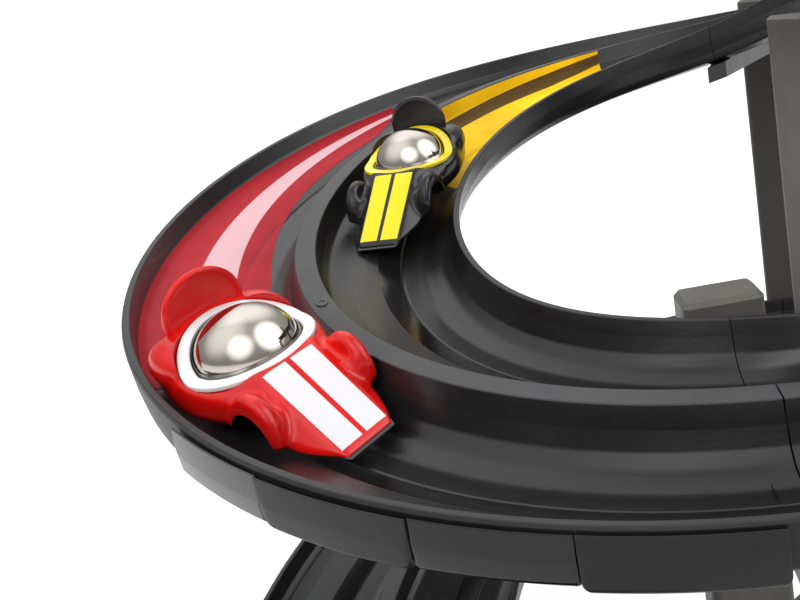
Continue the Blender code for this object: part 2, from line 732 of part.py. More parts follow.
def ring_height(x):
    return 3.2 + 8.8 * max(0.0, (4.0 - x) / 18.8) ** 1.25


def closed_band(name, loops, surface, frame):
    # Joins loops of points into one closed band, the last loop back to the first
    bm = bmesh.new()
    made = [[bm.verts.new(Vector(point) * MM) for point in loop] for loop in loops]
    count = len(made[0])
    for low, high in zip(made, made[1:] + made[:1]):
        for i in range(count):
            j = (i + 1) % count
            bm.faces.new((low[i], low[j], high[j], high[i]))
    bmesh.ops.triangulate(bm, faces=bm.faces)
    return add_object(name, bm, surface, frame)


def canopy_band(name, outer_inset, inner_inset, low, high, surface, frame):
    loops = []
    for inset, rise in ((outer_inset, low), (outer_inset, high), (inner_inset, high), (inner_inset, low)):
        loops.append([(x, y, ring_height(x) + rise) for x, y in ring_outline(inset)])
    return closed_band(name, loops, surface, frame)


def build_ring(name, frame):
    canopy_band(name + "_car_canopy_ring", 0.0, RING_BAND, 0.0, RING_THICKNESS, ring_paint(name), frame)


def build_body(name, frame):
    paint = car_paint(name)
    rings = [body_ring(*station) for station in BODY_STATIONS]
    body = loft(name + "_car_body", rings, paint, frame)
    for label, centre, size in FENDERS:
        fender = ball_mesh(name + "_fender_" + label, 1.0, paint, frame, 16, 8)
        fender.location = Vector(centre) * MM
        fender.data.transform(Matrix.Diagonal((*size, 1.0)))
        boolean(body, fender, "UNION")
    cavity = [mirrored(x, [(half, -20.0), (half, top - 1.6), (half - 1.6, top)])
              for x, half, top in CAVITY_STATIONS]
    boolean(body, loft(name + "_body_cavity", cavity, paint, frame), "DIFFERENCE")
    boolean(body, ball_mesh(name + "_body_hollow", BALL_RADIUS + BALL_CLEARANCE, paint, frame, 32, 16), "DIFFERENCE")
    hole = [[(x, y, z) for x, y in ring_outline(RING_BAND + GAP)] for z in (-20.0, 30.0)]
    boolean(body, loft(name + "_body_window", hole, paint, frame), "DIFFERENCE")
    seat = canopy_band(name + "_ring_seat", -GAP, RING_BAND + 1.2, -GAP, 30.0, paint, frame)
    boolean(body, seat, "DIFFERENCE")
    for label, x, y, radius in ARCHES:
        outside = (x, math.copysign(30.0, y), ARCH_HEIGHT)
        arch = rod(name + "_arch_" + label, (x, y, ARCH_HEIGHT), outside, radius, paint, 20, frame)
        boolean(body, arch, "DIFFERENCE")


def ball_mesh(name, radius, surface, parent, around=24, rows=12):
    bm = bmesh.new()
    bmesh.ops.create_uvsphere(bm, u_segments=around, v_segments=rows, radius=radius * MM)
    bmesh.ops.triangulate(bm, faces=bm.faces)
    return add_object(name, bm, surface, parent, 60.0)


def build_spoiler(name, frame):
    # A round fin behind the ball, leaning back a little, with a dished face
    lean = math.radians(8.0)
    centre = Vector((-15.8, 0.0, 10.6))
    steps = 28
    rings = []
    for radius, depth in ((SPOILER_RADIUS - 0.8, SPOILER_THICKNESS), (SPOILER_RADIUS, SPOILER_THICKNESS - 0.7),
                          (SPOILER_RADIUS, 0.5), (SPOILER_RADIUS - 0.7, 0.0), (SPOILER_RADIUS * 0.72, 0.6)):
        ring = []
        for y, z in circle(radius, steps):
            back = Vector((-depth, y, z))
            ring.append(tuple(centre + Matrix.Rotation(-lean, 3, "Y") @ back))
        rings.append(ring)
    fin = loft(name + "_car_spoiler", rings, car_paint(name), frame)
    cut = [body_ring(*station, grow=GAP) for station in BODY_STATIONS]
    boolean(fin, loft(name + "_spoiler_seat", cut, car_paint(name), frame), "DIFFERENCE")
    return fin


def build_chassis(name, frame):
    # Undertray plate, which drops to a keeled lip under the nose, with the ball's opening
    rings = [[(x, half, top), (x, half, edge), (x, 0.0, keel), (x, -half, edge), (x, -half, top)]
             for x, half, top, edge, keel in CHASSIS_STATIONS]
    plate = loft(name + "_car_chassis", rings, chassis_plastic(), frame)
    opening = ball_mesh(name + "_ball_opening", BALL_RADIUS + BALL_CLEARANCE, chassis_plastic(), frame, 28, 14)
    boolean(plate, opening, "DIFFERENCE")


def build_cage(name, frame):
    # Ball cage: a black band inside the body, round the ball
    clear = BALL_RADIUS + BALL_CLEARANCE
    outline = ((clear + 0.1, -6.6), (clear + 1.5, -6.6), (clear + 1.5, 0.4), (clear + 0.1, 0.4))
    loops = [[(x, y, z) for x, y in circle(radius, 32)] for radius, z in outline]
    closed_band(name + "_car_ball_cage", loops, chassis_plastic(), frame)


def build_car(name, car):
    frame = car_frame(name, car)
    ball_mesh(name + "_car_ball", BALL_RADIUS, chrome(), frame)
    build_body(name, frame)
    build_ring(name, frame)
    build_spoiler(name, frame)
    build_chassis(name, frame)
    build_cage(name, frame)


clear_scene()
build_track()
build_side_panels()
build_decals()
build_supports()
build_start()
for car_name, car_place in CARS.items():
    build_car(car_name, car_place)
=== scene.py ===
# Looks, lights and camera for the two-lane spiral car ramp toy.
# Sizes are millimetres and degrees in the part's own frame; MM turns them into metres.
import math

import bmesh
import bpy
from mathutils import Matrix, Vector


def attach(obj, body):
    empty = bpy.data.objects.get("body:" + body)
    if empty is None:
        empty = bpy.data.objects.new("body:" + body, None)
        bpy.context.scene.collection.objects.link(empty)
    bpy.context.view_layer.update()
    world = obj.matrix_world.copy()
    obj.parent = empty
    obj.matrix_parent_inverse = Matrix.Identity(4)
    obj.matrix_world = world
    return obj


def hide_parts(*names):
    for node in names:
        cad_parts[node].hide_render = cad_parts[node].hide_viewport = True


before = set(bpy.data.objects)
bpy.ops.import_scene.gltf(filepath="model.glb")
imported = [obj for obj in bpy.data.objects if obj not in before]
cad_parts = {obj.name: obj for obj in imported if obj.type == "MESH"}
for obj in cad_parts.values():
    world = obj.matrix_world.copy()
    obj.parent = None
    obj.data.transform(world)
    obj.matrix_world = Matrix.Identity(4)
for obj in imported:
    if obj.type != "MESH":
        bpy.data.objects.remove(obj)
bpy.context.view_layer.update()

MM = 0.001

# Helix of the outer rim, as the CAD model has it
OUTER_RADIUS = 178.0
INNER_RADIUS = 76.9
HELIX_X = -5.2
HELIX_Y = 7.65
TURN_DROP = 165.0
RIM_HEIGHT = 194.0
RIM_ANGLE = 198.0
WAVE_HEIGHT = 5.51
WAVE_ANGLE = 36.8
BANK_RISE = 8.53
BANK_ANGLE = 200.0
START_EASE = 30.0
START_SLOPE = 0.07
START_LENGTH = 115.0
END_ANGLE = 540.0
FINISH_EASE = 80.0
FINISH_LENGTH = 190.0

RIM_INNER = 175.9
DIVIDER_OUTER = 130.9
DIVIDER_INNER = 124.5
INNER_RIM_OUTER = 79.5
DIVIDER_RISE = 0.66
SEAM_1 = 45.0
SEAM_2 = 253.0
SEAM_3 = 405.0
SEAM_GAP = 0.3
STEP = 2.0

# Lane floor: distance in from the lane's outer edge, height, corner fillet
LANE = (
    (1.2, -6.5, 1.6), (3.0, -8.7, 2.4), (9.0, -10.5, 8.0), (18.5, -12.5, 0.5), (25.4, -14.8, 0.2),
    (25.9, -15.4, 0.2), (26.5, -15.1, 0.3), (34.0, -16.8, 7.0), (40.0, -14.5, 5.0),
    (42.7, -11.0, 3.0), (44.0, -6.0, 1.5),
)
STRIP = (18.0, 25.6)

# Camera fitted to the photograph
CAMERA_PLACE = (-162.496, -306.786, 275.271)
CAMERA_YAW = 0.5107
CAMERA_PITCH = 0.0775
CAMERA_ROLL = -0.1026
CAMERA_LENS = 42.69
CAMERA_SHIFT = (-0.3773, -0.3008)


# Track surface

def smooth(t):
    t = min(max(t, 0.0), 1.0)
    return t * t * (3.0 - 2.0 * t)


def free_rim_height(angle):
    fall = TURN_DROP * (angle - RIM_ANGLE) / 360.0
    wave = WAVE_HEIGHT * math.cos(math.radians(2.0 * angle - WAVE_ANGLE))
    return RIM_HEIGHT - fall - wave


def rim_height(angle):
    if angle >= START_EASE:
        return free_rim_height(angle)
    middle = (OUTER_RADIUS + INNER_RADIUS) / 2
    rate_here = free_rim_height(START_EASE + 0.5) - free_rim_height(START_EASE - 0.5)
    rate_start = -START_SLOPE * middle * math.radians(1.0)
    back = angle - START_EASE
    bend = (rate_here - rate_start) / START_EASE
    return free_rim_height(START_EASE) + rate_here * back + 0.5 * bend * back * back


def bank(angle, radius):
    share = smooth(angle / START_EASE)
    return share * BANK_RISE * math.sin(math.radians(angle - BANK_ANGLE)) * (OUTER_RADIUS - radius) / 100.0


def on_helix(angle, radius, height):
    turn = math.radians(angle)
    z = rim_height(angle) + bank(angle, radius) + height
    return Vector((HELIX_X + radius * math.cos(turn), HELIX_Y + radius * math.sin(turn), z))


def on_start(distance, radius, height):
    return Vector((HELIX_X + radius, HELIX_Y - distance, rim_height(0.0) + START_SLOPE * distance + height))


def on_finish(distance, radius, height):
    middle = (OUTER_RADIUS + INNER_RADIUS) / 2
    rate = (rim_height(END_ANGLE + 0.5) - rim_height(END_ANGLE - 0.5)) / (middle * math.radians(1.0))
    along = min(distance, FINISH_EASE)
    fall = rate * (along - along * along / (2.0 * FINISH_EASE))
    level = bank(END_ANGLE, radius) * (1.0 - smooth(distance / FINISH_EASE))
    return Vector((HELIX_X - radius, HELIX_Y - distance, rim_height(END_ANGLE) + fall + level + height))


# Mesh helpers

def add_piece(name, bm, surfaces, body, nodes=(), sharp=32.0, place=None):
    bmesh.ops.recalc_face_normals(bm, faces=bm.faces)
    mesh = bpy.data.meshes.new(name)
    bm.to_mesh(mesh)
    bm.free()
    mesh.shade_smooth()
    mesh.set_sharp_from_angle(angle=math.radians(sharp))
    for surface in surfaces:
        mesh.materials.append(surface)
    made = bpy.data.objects.new(name, mesh)
    bpy.context.scene.collection.objects.link(made)
    if place is not None:
        made.matrix_world = place
    bpy.context.view_layer.update()
    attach(made, body)
    if nodes:
        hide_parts(*nodes)
    return made


def bridge(bm, loops, around=False):
    # Faces between neighbouring loops, and from the last to the first if around
    count = len(loops[0])
    for low, high in zip(loops, loops[1:] + (loops[:1] if around else [])):
        for i in range(count):
            j = (i + 1) % count
            bm.faces.new((low[i], low[j], high[j], high[i]))


def rounded(points, closed=True, bend=9.0):
    # Points of an outline of (x, y, fillet, tag) corners, each corner turned into an arc
    count = len(points)
    result = []
    for i, (x, y, fillet, tag) in enumerate(points):
        here = Vector((x, y))
        if not closed and i in (0, count - 1) or fillet <= 0.0:
            result.append((x, y, tag))
            continue
        before = Vector(points[i - 1][:2]) - here
        after = Vector(points[(i + 1) % count][:2]) - here
        turn = math.pi - before.angle(after)
        reach = min(fillet * math.tan(turn / 2), before.length * 0.48, after.length * 0.48)
        if turn < 0.02:
            result.append((x, y, tag))
            continue
        first, last = here + before.normalized() * reach, here + after.normalized() * reach
        steps = max(2, round(math.degrees(turn) / bend))
        for k in range(steps + 1):
            t = k / steps
            point = first * (1 - t) ** 2 + here * 2 * t * (1 - t) + last * t * t
            result.append((point.x, point.y, tag))
    return result


def stations(first, last, step):
    count = max(1, math.ceil(abs(last - first) / step))
    return [first + (last - first) * i / count for i in range(count + 1)]


# Materials

def new_material(name, colour, roughness, metallic=0.0):
    made = bpy.data.materials.new(name)
    made.use_nodes = True
    shader = made.node_tree.nodes["Principled BSDF"]
    shader.inputs["Base Color"].default_value = (*colour, 1.0)
    shader.inputs["Roughness"].default_value = roughness
    shader.inputs["Metallic"].default_value = metallic
    made.diffuse_color = (*colour, 1.0)
    return made


class Nodes:
    # Short calls for building a node tree
    def __init__(self, material):
        self.tree = material.node_tree
        self.shader = self.tree.nodes["Principled BSDF"]

    def add(self, kind, inputs=(), **settings):
        node = self.tree.nodes.new(kind)
        for key, value in settings.items():
            setattr(node, key, value)
        for key, value in dict(inputs).items():
            self.put(value, node.inputs[key])
        return node

    def put(self, value, socket):
        if isinstance(value, bpy.types.NodeSocket):
            self.tree.links.new(value, socket)
        else:
            socket.default_value = value

    def math(self, operation, a, b=0.0, c=0.0, clamp=False):
        node = self.add("ShaderNodeMath", {0: a, 1: b, 2: c}, operation=operation, use_clamp=clamp)
        return node.outputs[0]

    def span(self, value, low, high, soft):
        # 1 between low and high, with soft edges
        up = self.math("MULTIPLY_ADD", self.math("SUBTRACT", value, low), 1.0 / soft, 0.5, True)
        down = self.math("MULTIPLY_ADD", self.math("SUBTRACT", high, value), 1.0 / soft, 0.5, True)
        return self.math("MULTIPLY", up, down)

    def noise(self, vector, scale, detail=2.0, rough=0.5):
        inputs = {"Vector": vector, "Scale": scale, "Detail": detail, "Roughness": rough}
        node = self.add("ShaderNodeTexNoise", inputs)
        return node.outputs["Fac"]

    def ramp(self, value, low, high, start, end):
        node = self.add("ShaderNodeMapRange", {"Value": value, "From Min": low, "From Max": high,
                                               "To Min": start, "To Max": end})
        return node.outputs[0]

    def mix(self, share, first, second):
        node = self.add("ShaderNodeMix", data_type="RGBA")
        self.put(share, node.inputs["Factor"])
        self.put(first, node.inputs[6])
        self.put(second, node.inputs[7])
        return node.outputs[2]

    def bump(self, height, distance, strength=1.0):
        node = self.add("ShaderNodeBump", {"Height": height, "Distance": distance, "Strength": strength})
        self.put(node.outputs[0], self.shader.inputs["Normal"])

    def object_point(self):
        return self.add("ShaderNodeTexCoord").outputs["Object"]

    def parts(self, vector):
        return self.add("ShaderNodeSeparateXYZ", {0: vector}).outputs

    def vector(self, x, y, z):
        return self.add("ShaderNodeCombineXYZ", {0: x, 1: y, 2: z}).outputs[0]


def helix_point(nodes):
    # Radius, angle in degrees and height round the helix, from the object's own coordinates
    x, y, z = nodes.parts(nodes.object_point())[:3]
    x = nodes.math("SUBTRACT", x, HELIX_X * MM)
    y = nodes.math("SUBTRACT", y, HELIX_Y * MM)
    square = nodes.math("ADD", nodes.math("MULTIPLY", x, x), nodes.math("MULTIPLY", y, y))
    radius = nodes.math("MULTIPLY", nodes.math("SQRT", square), 1000.0)
    angle = nodes.math("ARCTAN2", y, x)
    angle = nodes.math("MULTIPLY", angle, 180.0 / math.pi)
    angle = nodes.math("MODULO", nodes.math("ADD", angle, 360.0), 360.0)
    return radius, angle, nodes.math("MULTIPLY", z, 1000.0)


def along_track(nodes, stretch=0.12):
    # Coordinates that run along the track, so that marks are drawn out the way the cars roll
    radius, angle, height = helix_point(nodes)
    return nodes.vector(radius, nodes.math("MULTIPLY", angle, stretch), nodes.math("MULTIPLY", height, 0.3))


def plastic(name, colour, roughness, wear=0.06, grain=0.0, streaks=True, coat=0.0, shine=0.5):
    made = new_material(name, colour, roughness)
    nodes = Nodes(made)
    nodes.shader.inputs["Specular IOR Level"].default_value = shine
    point = nodes.object_point()
    fine = nodes.noise(point, 900.0, 2.0)
    cloudy = nodes.noise(point, 28.0, 3.0)
    if streaks:
        drawn = nodes.noise(along_track(nodes), 1.4, 4.0, 0.65)
    else:
        drawn = nodes.noise(point, 160.0, 4.0, 0.6)
    mixed = nodes.math("ADD", nodes.math("MULTIPLY", drawn, 0.65), nodes.math("MULTIPLY", cloudy, 0.35))
    rough = nodes.ramp(mixed, 0.3, 0.7, roughness - wear, roughness + wear)
    nodes.put(rough, nodes.shader.inputs["Roughness"])
    darker = (*[c * 0.75 for c in colour], 1.0)
    lighter = (*[c * 1.3 for c in colour], 1.0)
    tone = nodes.mix(nodes.ramp(cloudy, 0.3, 0.7, 0.0, 1.0), darker, lighter)
    nodes.put(tone, nodes.shader.inputs["Base Color"])
    if grain:
        nodes.bump(nodes.math("ADD", fine, nodes.math("MULTIPLY", drawn, 0.6)), grain * MM)
    if coat:
        nodes.shader.inputs["Coat Weight"].default_value = coat
        nodes.shader.inputs["Coat Roughness"].default_value = 0.06
    return made


def trail(name, base, dark, stripe, outer, inner, first_angle):
    # A printed trail: a stripe between two edges that close in along the track
    made = new_material(name, base, 0.34)
    nodes = Nodes(made)
    nodes.shader.inputs["Specular IOR Level"].default_value = 0.06
    radius, angle, _ = helix_point(nodes)
    run = nodes.math("SUBTRACT", angle, first_angle)
    outer_edge = nodes.math("MULTIPLY_ADD", run, outer[1], outer[0])
    inner_edge = nodes.math("MULTIPLY_ADD", run, inner[1], inner[0])
    below = nodes.math("MULTIPLY_ADD", nodes.math("SUBTRACT", outer_edge, radius), 4.0, 0.5, True)
    above = nodes.math("MULTIPLY_ADD", nodes.math("SUBTRACT", radius, inner_edge), 4.0, 0.5, True)
    share = nodes.math("MULTIPLY", below, above)
    cloudy = nodes.noise(nodes.object_point(), 40.0, 3.0)
    tone = nodes.mix(nodes.ramp(cloudy, 0.35, 0.65, 0.0, 1.0), (*base, 1.0), (*dark, 1.0))
    nodes.put(nodes.mix(share, tone, (*stripe, 1.0)), nodes.shader.inputs["Base Color"])
    drawn = nodes.noise(along_track(nodes), 1.6, 4.0, 0.6)
    nodes.put(nodes.ramp(drawn, 0.3, 0.7, 0.3, 0.42), nodes.shader.inputs["Roughness"])
    nodes.bump(drawn, 0.04 * MM)
    return made


def car_plastic(name, colour, stripe, roughness):
    # Gloss body colour with two stripes along the hood and a thin line of body colour between them
    made = new_material(name, colour, roughness)
    nodes = Nodes(made)
    coordinates = nodes.add("ShaderNodeTexCoord")
    x, y, _ = nodes.parts(coordinates.outputs["Object"])[:3]
    x = nodes.math("MULTIPLY", x, 1000.0)
    y = nodes.math("ABSOLUTE", nodes.math("MULTIPLY", y, 1000.0))
    up = nodes.parts(coordinates.outputs["Normal"])[2]
    along = nodes.span(x, STRIPE_REAR, STRIPE_FRONT, 0.15)
    edge_out = nodes.math("MULTIPLY_ADD", nodes.math("SUBTRACT", x, STRIPE_REAR), -0.0188, STRIPE_OUTER)
    edge_in = nodes.math("MULTIPLY_ADD", nodes.math("SUBTRACT", x, STRIPE_REAR), -0.0045, STRIPE_INNER)
    inside = nodes.math("MULTIPLY_ADD", nodes.math("SUBTRACT", edge_out, y), 7.0, 0.5, True)
    outside = nodes.math("MULTIPLY_ADD", nodes.math("SUBTRACT", y, edge_in), 7.0, 0.5, True)
    facing = nodes.math("MULTIPLY_ADD", nodes.math("SUBTRACT", up, 0.5), 20.0, 0.5, True)
    across = nodes.math("MULTIPLY", inside, outside)
    share = nodes.math("MULTIPLY", across, nodes.math("MULTIPLY", along, facing))
    cloudy = nodes.noise(coordinates.outputs["Object"], 90.0, 3.0)
    deep = (*[c * 0.82 for c in colour], 1.0)
    tone = nodes.mix(nodes.ramp(cloudy, 0.35, 0.65, 0.0, 1.0), (*colour, 1.0), deep)
    nodes.put(nodes.mix(share, tone, (*stripe, 1.0)), nodes.shader.inputs["Base Color"])
    peel = nodes.noise(coordinates.outputs["Object"], 420.0, 2.0)
    rough = nodes.ramp(cloudy, 0.3, 0.7, roughness - 0.03, roughness + 0.05)
    nodes.put(rough, nodes.shader.inputs["Roughness"])
    nodes.bump(peel, 0.02 * MM)
    nodes.shader.inputs["Specular IOR Level"].default_value = 0.4
    return made


def polished_steel(name, colour, rough):
    made = new_material(name, colour, rough, 1.0)
    nodes = Nodes(made)
    point = nodes.object_point()
    hair = nodes.noise(point, 700.0, 3.0)
    soft = nodes.noise(point, 60.0, 2.0)
    nodes.put(nodes.ramp(soft, 0.3, 0.7, rough - 0.03, rough + 0.03), nodes.shader.inputs["Roughness"])
    nodes.bump(hair, 0.004 * MM)
    return made


STRIPE_REAR = 17.2
STRIPE_FRONT = 42.4
STRIPE_OUTER = 7.27
STRIPE_INNER = 0.76

TRACK = plastic("track_satin_black", (0.0105, 0.0105, 0.0112), 0.3, 0.05, 0.03, shine=0.42)
STRIP_GLOSS = plastic("track_polished_strip", (0.007, 0.007, 0.0075), 0.14, 0.05, 0.01, shine=0.4)
# Rim and divider tops are the same black plastic as the track. Their lighter grey is painted light, where
# the flat tops face the lamps.
RIM = plastic("rim_top_painted_light", (0.018, 0.018, 0.019), 0.42, 0.06, 0.04, shine=0.35)
DIVIDER = plastic("divider_top_painted_light", (0.036, 0.036, 0.038), 0.42, 0.06, 0.05, shine=0.3)
WALL_MATTE = plastic("outer_wall_matte", (0.014, 0.014, 0.015), 0.45, 0.06, 0.05, shine=0.22)
COLUMN = plastic("column_plastic", (0.085, 0.08, 0.07), 0.5, 0.05, 0.05, False)
CHASSIS = plastic("chassis_plastic", (0.012, 0.012, 0.013), 0.3, 0.05, 0.02, False)
TRIM = plastic("trim_plastic", (0.03, 0.03, 0.032), 0.35, 0.06, 0.03, False)
GATE = plastic("gate_plastic", (0.72, 0.13, 0.012), 0.36, 0.05, 0.03, False)

PAINTS = {
    "red": car_plastic("red_gloss", (0.7, 0.006, 0.004), (0.8, 0.79, 0.82), 0.16),
    "black": car_plastic("black_gloss", (0.011, 0.011, 0.012), (0.86, 0.72, 0.004), 0.14),
}
RINGS = {
    "red": plastic("white_ring_gloss", (0.78, 0.78, 0.79), 0.22, 0.04, 0.015, False, 0.4),
    "black": plastic("yellow_ring_gloss", (0.86, 0.66, 0.004), 0.22, 0.04, 0.015, False, 0.4),
}
RED_SHELL = plastic("body_colour", (0.7, 0.006, 0.004), 0.2, 0.03, 0.02, False, shine=0.3)
BLACK_SHELL = plastic("black_shell", (0.011, 0.011, 0.012), 0.16, 0.03, 0.02, False)
SHELLS = {"red": RED_SHELL, "black": BLACK_SHELL}
CHROME = polished_steel("polished_ball", (0.52, 0.485, 0.43), 0.1)
COLLAR = polished_steel("polished_collar", (0.3, 0.285, 0.26), 0.16)
RED_TRAIL = trail("red_trail_print", (0.42, 0.014, 0.024), (0.32, 0.012, 0.02), (0.68, 0.42, 0.45),
                  (170.3, -0.15), (167.3, -0.33), 118.0)
YELLOW_TRAIL = plastic("yellow_trail_print", (0.84, 0.5, 0.008), 0.4, 0.05, 0.02, shine=0.08)
BROWN_BAND = plastic("brown_band_print", (0.085, 0.05, 0.014), 0.4, 0.05, 0.02, shine=0.1)



# Track pieces

def lane_line(edge, base):
    return [(edge - inset, base + height, fillet, 0) for inset, height, fillet in LANE]


def track_outline():
    points = [(OUTER_RADIUS, -1.0, 0.5, 0), (OUTER_RADIUS - 0.35, 0.0, 0.4, 0), (RIM_INNER, 0.0, 0.5, 0)]
    points += lane_line(RIM_INNER, 0.0)
    points += [(DIVIDER_OUTER, 0.0, 0.5, 0), (DIVIDER_INNER, DIVIDER_RISE, 0.5, 0)]
    points += lane_line(DIVIDER_INNER, DIVIDER_RISE)
    points += [(INNER_RIM_OUTER, -DIVIDER_RISE, 0.5, 0), (INNER_RADIUS + 0.5, -DIVIDER_RISE, 0.4, 0)]
    points += [(INNER_RADIUS + 1.0, -7.0, 2.0, 0), (INNER_RADIUS + 3.2, -12.8, 4.0, 0),
               (INNER_RADIUS + 6.5, -16.6, 3.0, 0)]
    under = ((34.0, -18.9, 6.0, 0), (26.3, -17.1, 2.0, 0), (18.8, -14.6, 2.0, 0), (9.5, -12.6, 3.0, 0))
    points += [(DIVIDER_INNER - inset, height + DIVIDER_RISE, fillet, 0)
               for inset, height, fillet, _ in under]
    points += [(DIVIDER_INNER - 2.0, -8.4, 2.0, 0), (DIVIDER_INNER + 0.6, -1.6, 1.0, 0)]
    points += [(DIVIDER_OUTER - 0.8, -2.2, 1.0, 0), (DIVIDER_OUTER - 0.2, -11.0, 2.0, 0)]
    points += [(RIM_INNER - 41.0, -16.4, 4.0, 0)]
    points += [(RIM_INNER - inset, height, fillet, 0) for inset, height, fillet, _ in under]
    points += [(OUTER_RADIUS - 5.5, -12.2, 0.6, 0), (OUTER_RADIUS - 3.6, -13.0, 0.8, 0),
               (OUTER_RADIUS - 2.4, -12.2, 1.6, 0), (OUTER_RADIUS - 1.2, -7.5, 6.0, 0)]
    return rounded(points)


OUTLINE = track_outline()


def finish_of(radius, height):
    # Which finish a stretch of the outline has: 0 satin, 1 polished strip, 2 rim top, 3 divider top, 4 outer
    # wall; the rim and divider tops carry painted light in a lighter grey
    for edge, base in ((RIM_INNER, 0.0), (DIVIDER_INNER, DIVIDER_RISE)):
        inset = edge - radius
        if STRIP[0] <= inset <= STRIP[1] and height > base - 12.9 - 0.31 * (inset - 18.0):
            return 1
    if height > -0.9 and (radius > RIM_INNER - 0.2 or radius < INNER_RIM_OUTER + 0.2):
        return 2
    if height > -0.4 and DIVIDER_INNER - 0.2 < radius < DIVIDER_OUTER + 0.2:
        return 3
    return 4 if radius > RIM_INNER + 0.3 else 0


def outline_tags(outline):
    tags = []
    for i, (x, y, _) in enumerate(outline):
        after = outline[(i + 1) % len(outline)]
        tags.append(finish_of((x + after[0]) / 2, (y + after[1]) / 2))
    return tags


def sweep_track(name, runs, nodes):
    tags = outline_tags(OUTLINE)
    bm = bmesh.new()
    rings = []
    for place, marks in runs:
        rings += [[place(at, radius, height) for radius, height, _ in OUTLINE] for at in marks]
    loops = [[bm.verts.new(point * MM) for point in ring] for ring in rings]
    count = len(OUTLINE)
    for low, high in zip(loops, loops[1:]):
        for i in range(count):
            j = (i + 1) % count
            face = bm.faces.new((low[i], low[j], high[j], high[i]))
            face.material_index = tags[i]
    for loop in (loops[0], loops[-1]):
        bm.faces.new(loop)
    surfaces = (TRACK, STRIP_GLOSS, RIM, DIVIDER, WALL_MATTE)
    return add_piece(name, bm, surfaces, "track", nodes, 24.0)


def make_track():
    half = math.degrees(SEAM_GAP / INNER_RADIUS) / 2
    sweep_track("start_deck_moulding",
                ((on_start, [START_LENGTH, START_LENGTH * 0.5, 6.0, 1.0]),
                 (on_helix, stations(0.0, SEAM_1 - half, STEP))), ("start_deck",))
    for name, first, last in (("upper", SEAM_1 + half, SEAM_2 - half),
                              ("middle", SEAM_2 + half, SEAM_3 - half),
                              ("lower", SEAM_3 + half, END_ANGLE)):
        run = (on_helix, stations(first, last, STEP))
        sweep_track(name + "_track_moulding", (run,), ("track_" + name,))
    marks = [SEAM_GAP] + stations(6.0, FINISH_EASE, 6.0) + [FINISH_LENGTH]
    sweep_track("finish_run_moulding", ((on_finish, marks),), ("finish_run",))


# Outer wall panels: name, first and last angle, how proud of the wall, how far below it, corner radius
PANELS = (
    ("side_panel_1", 200.75, 211.5, 1.0, 0.0, 0.8),
    ("side_panel_2", 211.5, 224.25, 1.5, 0.2, 3.0),
    ("side_panel_3", 224.25, 235.25, 1.0, 0.0, 0.8),
    ("side_panel_4", 235.25, 248.5, 1.0, 1.2, 1.6),
)


def panel_outline(proud, hang, lift):
    outer = OUTER_RADIUS + proud
    bottom = -12.6 - hang + lift
    points = [(outer - 0.45, -1.4, 0.3, 0), (outer - 1.3, min(-7.6 + lift, -2.4), 3.0, 0),
              (outer - 2.3, bottom + 1.0, 1.0, 0),
              (outer - 3.4, bottom - 0.2, 0.6, 0), (outer - 4.2, bottom - 0.5, 0.2, 0),
              (outer - 4.3, bottom - 1.2, 0.4, 0), (outer - 2.6, bottom - 0.9, 1.6, 0),
              (outer - 1.2, bottom + 0.4, 1.6, 0), (outer - 0.35, min(-7.6 + lift, -2.0), 4.0, 0),
              (outer, -1.4, 0.4, 0)]
    return rounded(points)


def make_panels():
    surfaces = {
        "side_panel_1": plastic("panel_1_gloss", (0.032, 0.032, 0.034), 0.22, 0.06, 0.02, shine=0.45),
        "side_panel_2": plastic("panel_2_matte", (0.022, 0.022, 0.024), 0.45, 0.06, 0.04, shine=0.22),
        "side_panel_3": plastic("panel_3_gloss", (0.006, 0.006, 0.007), 0.12, 0.05, 0.02, shine=0.3),
        "side_panel_4": plastic("panel_4_satin", (0.014, 0.014, 0.015), 0.42, 0.06, 0.03, shine=0.22),
    }
    for name, first, last, proud, hang, corner in PANELS:
        reach = math.degrees(corner / OUTER_RADIUS)
        half = math.degrees(0.15 / OUTER_RADIUS)
        first, last = first + half, last - half
        marks = [first + reach * t for t in (0.0, 0.06, 0.2, 0.45, 0.75)]
        marks += stations(first + reach, last - reach, 1.0)
        marks += [last - reach * t for t in (0.75, 0.45, 0.2, 0.06, 0.0)]
        bm = bmesh.new()
        loops = []
        for at in marks:
            near = min(at - first, last - at) / reach
            lift = corner * (1.0 - math.sqrt(max(0.0, 1.0 - (1.0 - min(near, 1.0)) ** 2)))
            outline = panel_outline(proud, hang, lift)
            loops.append([bm.verts.new(on_helix(at, radius, height) * MM) for radius, height, _ in outline])
        bridge(bm, loops)
        for loop in (loops[0], loops[-1]):
            bm.faces.new(loop)
        add_piece(name + "_skin", bm, (surfaces[name],), "track", (name,), 30.0)


# Printed trails: a thin film on the lane floor, bounded by edges that move along the track

def floor_height(edge, base, radius):
    line = rounded([(edge - inset, base + height, fillet, 0) for inset, height, fillet in LANE], False)
    for (x1, y1, _), (x2, y2, _) in zip(line, line[1:]):
        if x2 <= radius <= x1:
            return y1 + (y2 - y1) * (x1 - radius) / max(x1 - x2, 1e-6)
    return line[0][1] if radius > line[0][0] else line[-1][1]


def between(points, at):
    if at <= points[0][0]:
        return points[0][1]
    for (a, u), (b, v) in zip(points, points[1:]):
        if at <= b:
            return u + (v - u) * (at - a) / (b - a)
    return points[-1][1]


